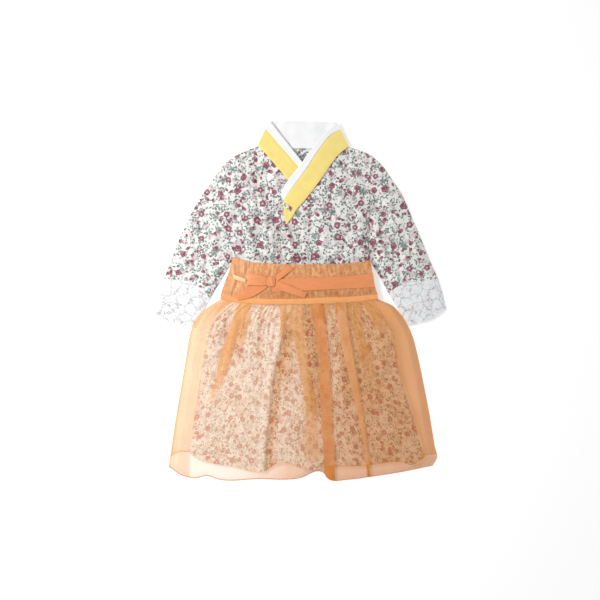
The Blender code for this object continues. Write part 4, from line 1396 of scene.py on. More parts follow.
@dataclass
class Waist:
    """Gathered waistband, piping, belt ribbon and the small tab beside the bow."""

    wall: float = 0.9
    level: float = 6.5
    ribbon_wall: float = 0.6
    belt_level: float = 8.1
    front: Outline = Outline(
        top=((-107.5, 69.3), (-75.2, 60), (-50, 58.6), (48, 57.6), (90, 60), (113.4, 63.4)),
        bottom=((-126.5, 8.6), (-100, 5), (-75.7, 3.4), (35.2, 3.8), (90, 6), (124, 9)),
        left=((-107.5, 69.3), (-113.9, 44.5), (-120.5, 28), (-126.5, 8.6)),
        right=((113.4, 63.4), (116, 42), (119.4, 24), (124, 9)),
    )
    back: Outline = Outline(
        top=((-106, 57), (0, 55), (110, 57)),
        bottom=((-126, 8.6), (-75.7, 3.4), (35.2, 3.8), (123.6, 9)),
        left=((-106, 57), (-116, 34), (-126, 8.6)),
        right=((110, 57), (116, 34), (123.6, 9)),
    )
    piping: Outline = Outline(
        top=((-126.7, 8.4), (-100, 4.8), (-75.7, 3.2), (35.2, 3.6), (90, 5.8), (124.2, 8.8)),
        bottom=((-127, 1.4), (-100, -4.2), (-75.7, -6.4), (-16, -7.1), (35.2, -6.4), (90, -3.2), (125, 1)),
    )
    belt: Outline = Outline(
        top=((-44, 33), (-16, 34.4), (35.2, 36.5), (75.2, 38.1), (116.6, 42.6)),
        bottom=((-44, 13), (10.6, 15.2), (53.4, 17.2), (119.8, 20.4)),
    )
    belt_back: Outline = Outline(
        top=((-111, 42), (0, 37), (115.6, 42)),
        bottom=((-117.5, 22), (0, 17), (119, 22)),
    )
    tab: Outline = Outline(
        top=((-107.4, 41.3), (-86.6, 33.4)),
        bottom=((-105.6, 33.6), (-87.4, 28.2)),
    )
    creases: tuple[Crease, ...] = folds(
        (-106, 60, -107, 8, 3.0, 1.4, 1.0), (-100, 34, -110, 4, 2.4, 1.2, 1.0, Fold.TROUGH),
        (-84, 54, -90, 28, 2.6, 1.3, 1.0, Fold.TROUGH), (-93, 66, -88, 38, 3.2, 1.2, 1.0),
        (-96, 30, -84, 8, 3.0, 1.3, -1.0), (-72, 60, -60, 42, 3.0, 1.1, 1.0, Fold.TROUGH),
        (-116, 40, -96, 22, 3.0, 1.0, 1.0), (-60, 20, -50, 4, 3.0, 1.0, 1.0),
        (18, 58, 20, 40, 2.6, 0.9, 0.0, Fold.TROUGH), (60, 16, 61, 4, 2.2, 1.0, 0.0, Fold.TROUGH),
    )

    def gathers(self, x: Array, y: Array) -> Array:
        """Uneven upright gathers: slow sines of a place that is itself moved by slower ones."""
        moved = x + 3.5 * np.sin(x / 13.0 + 0.6) + 2.0 * np.sin(y / 11.0 + x / 29.0)
        fine = np.sin(TURN * moved / 7.3) + 0.7 * np.sin(TURN * moved / 4.4 + 1.3)
        return 0.13 * fine * (1.0 + 0.4 * np.sin(y / 9.0 + x / 17.0))

    def build_bands(self) -> None:
        """Front and back of the waistband."""
        piece = sewn("waistband_front", "cloth", SHEER_WAIST, "front_left", "gathered")
        plan = patch(self.front, parts(260, 0.0012), parts(40, 0.008))
        x, y = places(plan)
        under_belt = 1 - 0.6 * ease((x + 50) / 20) * ease((y - 12) / 5) * ease((44 - y) / 6)
        relief = (self.gathers(x, y) + creased(self.creases)(x, y)) * under_belt
        pale = 0.35 + 0.65 * ease((x + 92.0) / 34.0)
        # Painted shade: darker towards the lower edge, and more so towards the wearer's left.
        shade = 0.62 * ease((24.0 - y) / 14.0) * (0.35 + 0.65 * ease((x + 70.0) / 40.0))
        cut = paired(x * 1.25, y * 1.05 + 20.0)
        level = self.level + waist_dome(x, y) + np.clip(relief, -0.8, 1.6)
        lying_panel(piece, plan, level, self.wall, cut=cut, fullness=pale, shade=shade)
        piece = sewn("waistband_back", "cloth", SHEER_WAIST, "belt_back", "gathered")
        plan = patch(self.back, parts(200, 0.0015), parts(24, 0.01))
        x, y = places(plan)
        cut = paired(x * 1.25 + 300.0, y * 1.05)
        lying_panel(piece, plan, 1.4 + 0.5 * (self.gathers(x, y) + 0.4), self.wall, cut=cut)

    def build_piping(self) -> None:
        """Front and back of the piping: a flattened roll, half an ellipse 2 mm high across."""
        for name, level, dome in (("piping_front", self.level, 1.0), ("piping_back", 0.0, 0.0)):
            piece = sewn(name, "roll", PIPING, "waistband_back")
            over = np.array([0.0, 0.04, 0.12, 0.25, 0.4, 0.55, 0.7, 0.85, 0.94, 1.0])
            plan = patch(self.piping, parts(190, 0.002), over)
            x, y = places(plan)
            roll = np.sqrt(np.clip(1 - (2 * over - 1) ** 2, 0.0, 1.0))[:, None]
            pulls = 0.12 * np.sin(x / 3.1 + 2.0 * np.sin(x / 17.0)) * roll
            top = level + dome * waist_dome(x, y) + 0.9 + 1.1 * roll + pulls
            piece.draft.shell(raised(plan, top), plan, 0.9)
            piece.place()

    def build_belt(self) -> None:
        """Belt ribbon in front and behind, and the small tab."""
        piece = sewn("belt_front", "ribbon", RIBBON, "waistband_front")
        plan = patch(self.belt, parts(150, 0.003), parts(16, 0.01))
        x, y = places(plan)
        pull = creased(folds(
            (-46, 27, -4, 31, 2.2, 0.35, 1.0), (-46, 22, 6, 22, 2.4, 0.4, -1.0, Fold.TROUGH),
            (40, 24, 104, 31, 3.0, 0.5, 1.0),
        ))(x, y)
        lying_panel(piece, plan, self.belt_level + 0.1 + waist_dome(x, y) + pull + 0.15 * np.sin(x / 14.0),
                    self.ribbon_wall, cut=plan - np.array([0.0, 20.0]))
        piece = sewn("belt_back", "ribbon", RIBBON, "floor")
        plan = patch(self.belt_back, parts(120, 0.003), parts(8, 0.02))
        lying_panel(piece, plan, 0.0, self.ribbon_wall)
        piece = sewn("tie_tab", "ribbon", TAB, "waistband_front")
        plan = patch(self.tab, parts(24, 0.01), parts(10, 0.02))
        x, y = places(plan)
        lying_panel(piece, plan, self.belt_level + 0.3 + waist_dome(x, y) + 0.25 * np.cos((x + 97) / 6), 0.6)

    def build(self) -> None:
        """Everything at the waist but the bow."""
        self.build_bands()
        self.build_piping()
        self.build_belt()


# ---- bow

@dataclass
class Bow:
    """Bow with one loop, a knot and three tails.

    Attributes:
        level: Height that it lies at.
        wall: Thickness of the ribbon.
    """

    level: float = 9.4
    low_level: float = 8.9
    wall: float = 0.55
    knot_left: float = -52.8
    knot_right: float = -39.2
    knot_low: float = 20.5
    knot_high: float = 38.4
    knot_thick: float = 2.7
    loop_end: tuple[float, float] = (-81.0, -85.4)
    loop_top: tuple[float, float] = (42.2, 37.6)
    loop_bottom: tuple[float, float] = (24.2, 22.6)
    tails: tuple[tuple[str, Outline], ...] = (
        ("tail_upper", Outline(((-41.4, 36.4), (-19.2, 54.6)), ((-37.6, 29.0), (-10.2, 49.8)))),
        ("tail_lower_left", Outline(((-105.0, 7.6), (-92, 15.4), (-75.2, 24), (-52.4, 31.6)),
                                    ((-98.5, -0.8), (-81.0, 3.4), (-64, 12.2), (-52.4, 20.6)))),
        ("tail_lower_right", Outline(((-40.6, 32.6), (11.0, 11.8)), ((-40.6, 18.8), (7.0, 3.2)))),
    )

    def build_loop(self) -> None:
        """Loop: the ribbon runs out, turns over at a slanting fold and comes back above itself."""
        reach = np.linspace(0.0, 1.0, 40)
        turn = np.linspace(-0.5 * math.pi, 0.5 * math.pi, 9)[1:-1]
        over = parts(14, 0.02)
        gap = 1.5
        run = np.concatenate([reach, np.ones(turn.size), reach[::-1]])
        bulge = np.concatenate([np.zeros(reach.size), np.cos(turn) * gap / 2, np.zeros(reach.size)])
        puff = 1.7 * np.sin(math.pi * reach) ** 0.6
        height = np.concatenate([0.0 * reach, gap / 2 + gap / 2 * np.sin(turn), (gap + puff)[::-1]])
        start = self.knot_left + 1.0
        end = self.loop_end[0] + 0.8 + (self.loop_end[1] - self.loop_end[0]) * over
        x = start + (end[None, :] - start) * run[:, None] - bulge[:, None]
        high_edge = self.loop_top[1] + (self.loop_top[0] - self.loop_top[1]) * run
        low_edge = self.loop_bottom[1] + (self.loop_bottom[0] - self.loop_bottom[1]) * run
        pinch = 1 - 0.16 * bell(run, 0.16)
        middle = 0.5 * (high_edge + low_edge)
        half = 0.5 * (high_edge - low_edge) * pinch
        y = middle[:, None] + half[:, None] * (1 - 2 * over)[None, :]
        ribs = 0.28 * np.sin((y - middle[:, None]) / 2.1) * np.exp(-run / 0.35)[:, None]
        z = self.level + self.wall + height[:, None] + ribs + waist_dome(x, y)
        step = lengths(paired(run * 30.0, height))
        cut = paired(step[:, None], 18.0 * over[None, :])
        piece = sewn("bow_loop", "ribbon", RIBBON, "waistband_front", "folded")
        surface = np.stack([x, y, z], axis=-1)
        piece.draft.shell(surface[:, ::-1], cut[:, ::-1], self.wall)
        piece.place()

    def build_knot(self) -> None:
        """Knot: a soft cushion of ribbon, (1 - u^4)(1 - v^4) to the power a half, with upright pleats."""
        u, v = np.meshgrid(parts(36, 0.01) * 2 - 1, 1 - 2 * parts(36, 0.01))
        corner = 1.0 - 0.17 * u ** 2 * v ** 2
        waist = 1.0 - 0.08 * (1 - u ** 2)
        x = 0.5 * (self.knot_left + self.knot_right + (self.knot_right - self.knot_left) * u * corner)
        y = 0.5 * (self.knot_low + self.knot_high + (self.knot_high - self.knot_low) * v * corner * waist)
        crown = np.sqrt(np.clip((1 - u ** 4) * (1 - v ** 4), 0.0, 1.0))
        pleats = 0.25 * np.sin(u * 6.0 + 1.4 * v + 0.5) * crown
        base = self.level + waist_dome(x, y)
        z = base + 0.9 + (self.knot_thick - 0.9) * crown + pleats
        piece = sewn("bow_knot", "ribbon", RIBBON, "bow_loop", "folded")
        high = piece.draft.grid(np.stack([x, y, z], axis=-1), paired(y, x))
        low = piece.draft.grid(np.stack([x, y, base], axis=-1), paired(y, x))
        piece.draft.close(high, low)
        piece.place()

    def build_tails(self) -> None:
        """The three tails, each with a soft wave and a rib along its middle."""
        for number, (name, sides) in enumerate(self.tails):
            piece = sewn(name, "ribbon", RIBBON, "waistband_front")
            plan = patch(sides, parts(50, 0.006), parts(14, 0.02))
            x, y = places(plan)
            level = self.low_level if name == "tail_lower_left" else self.level
            down = parts(14, 0.02)[:, None]
            fold = 0.5 * bell(down - 0.5, 0.3)
            away = ease((np.abs(x + 46.0) - 8.0) / 20.0)
            wave = 0.25 * np.sin(x / 7.0 + number * 1.7)
            droop = 1.1 * ease((y - 37.0) / 10.0) + 0.8 * ease((x - 2.0) / 8.0)
            relief = (fold + wave + 0.2) * away - droop
            lying_panel(piece, plan, level + waist_dome(x, y) + relief, self.wall)

    def build(self) -> None:
        """The whole bow, from below upwards."""
        self.build_tails()
        self.build_loop()
        self.build_knot()


# ---- skirts

@dataclass(frozen=True)
class Flare:
    """A skirt's plan: its edges by the distance below the waist seam, its top line and its hem line.

    Attributes:
        rows: Distance down, left edge and right edge.
        top: Waist seam.
        hem: Hem.
    """

    rows: tuple[tuple[float, ...], ...]
    top: Points
    hem: Points

    def column(self, number: int, drop: Array) -> Array:
        """A table's column read at the given drops, along a smooth curve."""
        data = np.array(self.rows, dtype=float)
        path = smooth_curve(tuple(zip(data[:, 0], data[:, number])))
        return np.interp(drop, path[:, 0], path[:, 1])

    def depth(self) -> float:
        """Distance from the waist seam to the hem."""
        return float(self.rows[-1][0])

    def plan(self, across: Array, down: Array, hem: Points | None = None) -> Array:
        """Plan points.

        Each row runs straight from the left edge to the right one, and its height is between the
        waist line and the hem line.

        Args:
            across: Rows x columns of parts from the left edge.
            down: Parts from the waist seam.
            hem: Another hem line.

        Returns:
            Rows x columns x 2 points.
        """
        drop = down * self.depth()
        left = self.column(1, drop)[:, None]
        right = self.column(2, drop)[:, None]
        top = smooth_curve(self.top)
        low = smooth_curve(hem or self.hem)
        high_y = np.interp(across, (top[:, 0] - top[0, 0]) / np.ptp(top[:, 0]), top[:, 1])
        low_y = np.interp(across, (low[:, 0] - low[0, 0]) / np.ptp(low[:, 0]), low[:, 1])
        return paired(left + (right - left) * across, high_y + (low_y - high_y) * down[:, None])


UNDER_FLARE = Flare(
    rows=((0, -108, 108), (20, -132, 131), (48, -148, 149), (73, -152.6, 154.5), (121, -160, 163),
          (170, -167.5, 180), (209, -174, 191), (235, -179.7, 200)),
    top=((-108, -5.6), (-75.7, -6.6), (-16, -7), (35.2, -6.4), (108, -2.6)),
    hem=((-179.7, -242), (-169.6, -251.5), (-138.2, -261.8), (-110.4, -265.9), (-81.6, -273.1),
         (-52.8, -273.1), (-40, -262.8), (-12.8, -263.2), (0, -269.1), (59.2, -266.4), (108.8, -264.8),
         (131.2, -261.6), (163.2, -259.8), (178.6, -263.8), (193.6, -256.3), (200, -251)),
)
OVER_FLARE = Flare(
    rows=((0, -125.5, 125.5, 16, 34, 56, 72), (11, -144, 149.5, 18, 36, 57, 73),
          (24, -160, 161.5, 20, 38, 59, 74.5), (38, -169.6, 170.5, 23, 40, 62, 77),
          (60, -176.8, 180.5, 26, 43, 66, 81), (86, -181.1, 187.5, 30, 46, 72, 85.5),
          (138, -189.8, 198.5, 32, 49, 84.5, 94.5), (188, -198.4, 208, 34, 51, 96, 102.5),
          (235, -205.4, 215.6, 37.5, 55, 104, 109), (256, -208.6, 219.3, 38.5, 56, 107, 111.8),
          (267, -210.4, 213, 38.5, 57, 108.5, 113)),
    top=((-125.5, 1.4), (-100, -3.8), (-75.7, -6), (-16, -6.7), (35.2, -6), (90, -2.8), (125.5, 1)),
    hem=((-210.4, -266), (-188.8, -280.3), (-169.6, -284.6), (-147.2, -281.3), (-132.8, -286.1),
         (-67.2, -286.1), (0, -284.6), (33.3, -274), (38.2, -276.2), (44, -284.5), (81.6, -286.7),
         (111.7, -282.7), (163.2, -274.6), (213, -264.3)),
)


@dataclass
class FloralSkirt:
    """Skirt of printed lawn, gathered into the waist.

    Attributes:
        wall: Thickness of the lawn.
        front_level: Height of the front's underside.
        back_level: Height of the back's underside.
        cut_width: Width of each half before it is gathered.
        main_fold: Line of the long fold.
        creases: Creases of the front.
        shade_spots: Places of painted shade: middle, low end, high end, slant, width and depth of shade.
    """

    wall: float = 0.7
    front_level: float = 4.8
    back_level: float = 1.7
    cut_width: float = 392.0
    main_fold: Points = ((-22, -12), (-23, -46), (-30, -80), (-37, -110), (-44.6, -171), (-50, -223),
                         (-53, -266))
    creases: tuple[Crease, ...] = folds(
        (-112, -20, -146, -180, 6.0, 1.0, 4.0, Fold.TROUGH), (-84, -20, -104, -120, 5.0, 0.9, -3.0),
        (-78, -30, -90, -230, 12.0, 0.8, 5.0), (-60, -16, -66, -90, 4.5, 0.9, 2.0, Fold.TROUGH),
        (6, -16, 4, -150, 6.0, 0.8, 3.0, Fold.TROUGH), (58, -20, 64, -230, 10.0, 0.9, 4.0),
        (84, -16, 104, -140, 6.0, 1.1, -3.0, Fold.TROUGH),
        (96, -70, 150, -210, 12.0, 1.3, 6.0, Fold.TROUGH), (112, -20, 150, -170, 6.0, 0.9, -4.0),
        (128, -60, 178, -220, 8.0, 0.8, -5.0, Fold.TROUGH),
    )

    shade_spots: tuple[tuple[float, float, float, float, float, float], ...] = (
        (15.0, -200.0, -2.0, 0.05, 10.0, 1.0),
        (-14.0, -150.0, -40.0, -0.10, 11.0, 0.42),
        (79.0, -90.0, -10.0, 0.12, 5.0, 0.90),
        (96.0, -190.0, -66.0, 0.08, 14.0, 0.62),
        (-86.0, -120.0, -20.0, -0.20, 5.0, 0.45),
        (-62.0, -110.0, -6.0, -0.04, 6.0, 0.35),
        (62.0, -190.0, -60.0, 0.14, 6.0, 0.35),
        (-110.0, -90.0, -8.0, -0.35, 6.0, 0.30),
    )

    def beside_fold(self, x: Array, y: Array) -> Array:
        """Distance to the right of the long fold's line."""
        path = smooth_curve(self.main_fold)[::-1]
        return x - np.interp(y, path[:, 1], path[:, 0])

    def fold(self, x: Array, y: Array) -> Array:
        """Long fold down the front: over a soft lip on its left and into a valley on its right."""
        beside = self.beside_fold(x, y)
        lip = 0.7 * bell(beside + 7.0, 7.0)
        valley = -2.3 * np.where(beside < 0, bell(beside, 2.6), bell(beside, 11.0))
        return (lip + valley) * ease((-4.0 - y) / 40.0)

    def shade(self, x: Array, y: Array) -> Array:
        """Painted shade of the front.

        It deepens towards the wearer's left, in the valley of the long fold and in spots beside the
        pleats of the sheer skirt above. It is a little lighter, a painted highlight, on the lip left of
        the fold, and has faint random blotches.

        Args:
            x: Plan points across.
            y: Plan points up.

        Returns:
            Shade at each point.
        """
        beside = self.beside_fold(x, y)
        total = 0.10 + 0.78 * ease((x + 62.0) / 196.0) + ripples(x, y, 91, 46.0, 0.07)
        total = total + 0.68 * bell(beside - 4.0, 7.5) * ease((-4.0 - y) / 40.0)
        total = total - 0.12 * bell(beside + 12.0, 9.0)
        for middle, low, high, slant, width, depth in self.shade_spots:
            across = (x - middle - slant * (high - y)) / width
            total = total + depth * np.exp(-across ** 2) * ease((high - y) / 14.0) * ease((y - low) / 40.0)
        return np.clip(total, 0.0, 1.3)

    def build(self) -> None:
        """Front and back."""
        for name, level, seed, columns, rows in (("underskirt_front", self.front_level, 61, 210, 150),
                                                 ("underskirt_back", self.back_level, 67, 90, 70)):
            front = name == "underskirt_front"
            piece = Piece(name + "_cloth", PRINT_SKIRT, (name,), held="gathered",
                          rests_on=("underskirt_back",) if front else ("overskirt_back",))
            down = parts(rows, 0.002)
            across = np.broadcast_to(parts(columns, 0.002), (down.size, columns + 3))
            plan = UNDER_FLARE.plan(across, down)
            x, y = places(plan)
            height = level + cuff_lift(x, y)
            if front:
                waves = np.sin(TURN * (across * 31 + 0.5 * np.sin(across * 23)))
                pleats = 0.45 * waves * (1 - ease(down[:, None] / 0.45))
                relief = creased(self.creases)(x, y) + ripples(x, y, seed, 50.0, 0.22) + pleats
                height = height + np.clip(relief, -1.4, 0.75) + self.fold(x, y)
            cut = paired((across - 0.5) * self.cut_width + seed * 7.0, y)
            # The back gets an even painted shade of 0.3; the front gets its own painted shade.
            lying_panel(piece, plan, height, self.wall, cut=cut, shade=self.shade(x, y) if front else 0.3)


@dataclass(frozen=True)
class Bunch:
    """A pleat that is caught in the waist seam and opens out below it.

    Attributes:
        rows: Height, left edge and right edge, from the waist down.
        layers: Extra layers of cloth at the waist.
        left_over: Share of them that is left at the lower end.
        crisp: Softness of its two edges.
        swell: How far it stands up.
    """

    rows: tuple[Triple, ...]
    layers: float
    left_over: float = 0.0
    crisp: float = 1.2
    swell: float = 0.6

    def strength(self, x: Array, y: Array) -> Array:
        """Share of its layers at each point: 1 inside, soft at its edges and fading down it."""
        table = np.array(self.rows)[::-1]
        left = np.interp(y, table[:, 0], table[:, 1])
        right = np.interp(y, table[:, 0], table[:, 2])
        inside = ease(0.5 + (x - left) / (2 * self.crisp)) * ease(0.5 + (right - x) / (2 * self.crisp))
        low = float(table[0, 0])
        long = float(table[-1, 0]) - low
        fall = self.left_over + (1 - self.left_over) * ease((y - low) / (0.75 * long))
        return inside * fall * ease((y - low) / (0.12 * long) + 0.001)


@dataclass
class OrganzaSkirt:
    """Sheer overskirt: a pleated front, and a back that ends a little higher; both are one layer.

    Attributes:
        edge_ramp: Share of the width over which the front comes down to the side seams.
        hem_ramp: Share of the length over which it comes down to the hem.
        pitch: Distance between the layers of a pleat.
        edge_level: Height of the front at its side seams and hem.
        rise: How much higher it lies over the underskirt.
        back_length: Length of the back against the front.
        back_hem: Hem line of the back.
        bunches: Listed pleats.
        folds: Long soft folds.
    """

    edge_ramp: float = 0.034
    hem_ramp: float = 0.034
    pitch: float = 1.3
    edge_level: float = 2.1
    rise: float = 5.3
    back_length: float = 0.925
    back_hem: Points = ((-206.5, -249.5), (-197, -244.5), (-181, -242.8), (-160, -246.5), (-120, -252),
                        (-40, -255), (60, -256), (140, -254), (186, -249.5), (216.5, -246))
    bunches: tuple[Bunch, ...] = (
        Bunch(((-4, -96, -79), (-11.5, -101.3, -79), (-39.5, -110.4, -93.6), (-71.7, -121.6, -103.2),
               (-97.9, -129.6, -110.4), (-128.3, -135.2, -121.6), (-172, -152, -143)), 7.0, 0.25),
        Bunch(((-30, -92, -78), (-50, -97, -83), (-70, -101, -88), (-92, -104, -95)), 3.0),
        Bunch(((-4, -33.6, -20.8), (-40, -31, -20.8), (-64, -34, -25), (-84, -37, -29)), 4.5),
        Bunch(((-4, -20, 6), (-30, -18, 5), (-77, -7, 9), (-106, -2, 13), (-160, 8, 26), (-215, 8, 30),
               (-270, 7, 33)), 3.4, 0.62),
        Bunch(((-4, 28, 52), (-22, 30, 46), (-44, 33, 44)), 4.0),
        Bunch(((-4, 72, 84), (-14, 74, 86), (-34, 78, 88), (-60, 84, 93)), 2.6),
        Bunch(((-46, 84, 98), (-80, 92, 112), (-120, 100, 118), (-150, 106, 116)), 2.6),
        Bunch(((-2, 98, 116), (-16, 105, 127), (-34, 116, 137), (-64, 130, 146)), 3.8),
        Bunch(((-2, -124, -112), (-14, -132, -118), (-30, -140, -128)), 1.6),
    )
    folds: tuple[Crease, ...] = folds(
        (-140, -30, -186, -230, 6.0, 1.3, 5.0), (-150, -60, -170, -240, 5.0, 1.0, -4.0, Fold.TROUGH),
        (-98, -10, -140, -160, 5.0, 1.2, 4.0), (-60, -10, -70, -250, 9.0, 0.9, 5.0),
        (-24, -8, -44, -260, 6.0, 0.9, -4.0), (6, -8, 22, -250, 6.0, 1.0, 3.0),
        (120, -20, 176, -150, 5.0, 1.6, -8.0), (132, -36, 196, -230, 7.0, 1.4, -8.0, Fold.TROUGH),
        (110, -10, 150, -120, 4.0, 1.2, -4.0, Fold.TUCK), (150, -160, 206, -262, 6.0, 1.2, -4.0),
    )

    def small_gathers(self) -> list[tuple[float, float, float, float, float]]:
        """Seeded little gathers: place across the waist, width, length, layers and slant."""
        draw = np.random.default_rng(7)
        return [(draw.uniform(-0.94, 0.94), draw.uniform(0.9, 2.6), draw.uniform(12.0, 48.0),
                 draw.uniform(0.8, 2.6), draw.uniform(0.9, 1.06)) for _ in range(30)]

    def gathered(self, x: Array, y: Array, flare: Array) -> tuple[Array, Array]:
        """Fullness and height of every bunch and gather.

        Args:
            x: Plan points across.
            y: Plan points up.
            flare: Half width at each row, against that at the waist.

        Returns:
            The layers beyond the first, and the height beyond the plain sheet.
        """
        layers = np.zeros_like(x)
        height = creased(self.folds)(x, y)
        for bunch in self.bunches:
            share = bunch.strength(x, y)
            layers = np.maximum(layers, bunch.layers * share)
            height = height + bunch.swell * share
        for place, width, long, extra, slant in self.small_gathers():
            centre = place * 125.5 * flare ** slant
            share = bell(x - centre, width) * (1 - ease((-y - 0.25 * long) / (0.75 * long)))
            layers = layers + extra * share * (1 - layers / 12.0)
            height = height + 0.35 * extra * share
        return layers, height

    def path(self, flare: Flare, down: Array) -> tuple[Array, Array]:
        """Parts across and layer numbers of the pleated front.

        Each of its two long pleats doubles back once under its fold.

        Args:
            flare: The skirt's plan, with each pleat's fold and back edges as columns 3 to 6.
            down: Parts from the waist seam.

        Returns:
            Parts across, rows x columns, and the layer of each column.
        """
        drop = down * flare.depth()
        left = flare.column(1, drop)
        right = flare.column(2, drop)

        def place(number: int, offset: float = 0.0) -> Array:
            """Parts across of a table's column, moved sideways by an offset."""
            return (flare.column(number, drop) + offset - left) / (right - left)

        zero = np.zeros_like(drop)
        stops = [(zero, 0.0, 10), (zero + self.edge_ramp, 0.0, 120)]
        for fold, back in ((3, 4), (5, 6)):
            half = self.pitch / 2
            for edge, bend, first, steps in ((back, -half, 0.0, 8), (fold, half, 1.0, 10)):
                stops += [(place(edge, bend * share), first + layer, 1)
                          for share, layer in ((1.0, 0.0), (0.3, 0.15), (0.0, 0.5), (0.3, 0.85))]
                stops.append((place(edge, bend), first + 1.0, steps))
            stops += [(place(back, 1.2), 2.0, 2), (place(back, 4.0), 0.0, 10 if fold == 3 else 74)]
        stops += [(zero + 1.0 - self.edge_ramp, 0.0, 10), (zero + 1.0, 0.0, 0)]
        across = []
        layers = []
        for (start, first, count), (end, last, _) in zip(stops, stops[1:]):
            share = np.arange(count) / max(count, 1)
            across.append(start[:, None] + (end - start)[:, None] * share)
            layers.append(first + (last - first) * ease(share))
        across.append(stops[-1][0][:, None])
        layers.append(np.zeros(1))
        return np.concatenate(across, axis=1), np.concatenate(layers)

    def density(self, x: Array, y: Array) -> Array:
        """Layers of the plain sheet: fuller towards the wearer's left, partly as painted shade, and thin
        beside the first bunch.
        """
        thin = 0.22 * np.exp(-((x + 72.0) / 38.0) ** 2 - ((y + 62.0) / 48.0) ** 2)
        return 0.62 + 0.52 * ease((x + 150.0) / 330.0) - thin

    def shade(self, x: Array, y: Array) -> Array:
        """Painted shade of the sheer cloth: deeper towards the wearer's left, and a little in soft blotches.
        """
        deepening = 0.26 * ease((x + 10.0) / 190.0)
        return np.clip(0.06 + deepening + ripples(x, y, 83, 60.0, 0.06), 0.0, 1.0)

    def front_sheet(self) -> None:
        """The pleated front, with its rolled hem."""
        rows = 150
        down = np.concatenate([np.linspace(0.0, 0.3, rows // 2 + 1)[:-1],
                               np.linspace(0.3, 1.0, rows // 2 + 1)])
        across, layers = self.path(OVER_FLARE, down)
        plan = OVER_FLARE.plan(across, down)
        x, y = places(plan)
        flare = (OVER_FLARE.column(2, down * OVER_FLARE.depth()) / 125.5)[:, None]
        full, lifted = self.gathered(x, y, flare)
        # Painted shade in the bunches, growing with their layers.
        bunch_shade = 0.16 * ease(full / 3.5)
        side = ease(across / self.edge_ramp) * ease((1 - across) / self.edge_ramp)
        side = side * ease((1 - down) / self.hem_ramp)[:, None]
        swell = waist_dome(x, y) * ease((y + 70.0) / 70.0)
        height = self.edge_level + cuff_lift(x, y) + (self.rise + np.clip(lifted, -0.4, 3.0) + swell) * side
        pleated = layers > 0.3
        full = self.density(x, y) + 0.65 * full * np.where(pleated, 0.35, 1.0) + pleated
        full = full + self.beside(x, y, 2.45, 1.3) + self.selvage(across)
        # Painted shade: deep in the first long pleat and light in the second, with random blotches, and a
        # painted shadow below the underskirt's hem that deepens towards the wearer's left.
        blotches = ripples(x, y, 19, 26.0, 0.16)
        pleat_shade = np.clip(np.where(x < 60.0, 0.86, 0.10) + blotches, 0.0, 1.0)
        shade = self.shade(x, y) + bunch_shade + pleated * pleat_shade
        shade = shade + (0.10 + 0.44 * ease((x + 110.0) / 170.0)) * self.past_hem(x, y)
        surface = np.stack([x, y, height + self.pitch * layers * 0.6], axis=-1)
        reach = lengths(surface[-1])
        cut = paired(reach[None, :], y)
        piece = sewn("overskirt_front", "sheet", SHEER, "underskirt_front", "gathered")
        piece.draft.skin(piece.draft.grid(surface, cut, full, shade), cloth=True)
        piece.place([self.rolled_hem("overskirt_front_hem", surface[-1], 0.95)])

    def beside(self, x: Array, y: Array, right: float, left: float) -> Array:
        """Fuller cloth beyond the underskirt: the given layers at its sides, and some below its hem. The
        extra layers below the hem, and the greater ones at the wearer's left side, are partly painted shade.

        Args:
            x: Plan points across.
            y: Plan points up.
            right: Layers beyond the underskirt's right edge.
            left: Layers beyond its left edge.

        Returns:
            Layers to add.
        """
        drop = np.clip(-y, 0.0, UNDER_FLARE.depth())
        past_right = ease((x - UNDER_FLARE.column(2, drop) + 6.5) / 6.0)
        past_left = ease((UNDER_FLARE.column(1, drop) - x + 6.5) / 6.0)
        below = self.past_hem(x, y) * (0.5 + 0.8 * right * ease((x + 120.0) / 170.0))
        return np.maximum(right * past_right, below) + left * past_left

    def past_hem(self, x: Array, y: Array) -> Array:
        """1 below the underskirt's hem and 0 above it."""
        hem = smooth_curve(UNDER_FLARE.hem)
        return ease((np.interp(x, hem[:, 0], hem[:, 1]) - y + 4.0) / 6.0)

    def selvage(self, across: Array) -> Array:
        """Layers of the narrow seams down both sides."""
        return 1.6 * np.exp(-np.minimum(across, 1 - across) * 420.0 / 1.6)

    def rolled_hem(self, name: str, line: Array, radius: float) -> bpy.types.Object:
        """Narrow rolled hem: a round section carried along the hem's own line.

        Args:
            name: The trim's name.
            line: The hem's points.
            radius: Radius of the roll.

        Returns:
            The trim.
        """
        keep = np.concatenate([[True], np.linalg.norm(np.diff(line, axis=0), axis=1) > 0.4])
        line = line[keep]
        tangent = np.gradient(line, axis=0)
        tangent /= np.maximum(np.linalg.norm(tangent, axis=1, keepdims=True), 1e-9)
        side = np.array([0.0, -1.0, 0.0]) + tangent * tangent[:, 1:2]
        side /= np.linalg.norm(side, axis=1, keepdims=True)
        up = np.cross(side, tangent)
        turn = np.linspace(0.0, TURN, 9)
        ring = (line[:, None] + radius * (np.cos(turn)[None, :, None] * side[:, None]
                                          + 0.8 * np.sin(turn)[None, :, None] * up[:, None]))
        ring[:, -1] = ring[:, 0]
        reach = lengths(line)
        cut = paired(reach[:, None], radius * turn[None, :])
        piece = Piece(name, SHEER)
        # Fullness 2.4 and an even painted shade of 0.5.
        piece.draft.skin(piece.draft.grid(ring, cut, 2.4, 0.5, ring=True), outward=False)
        return piece.place(sheet=False)

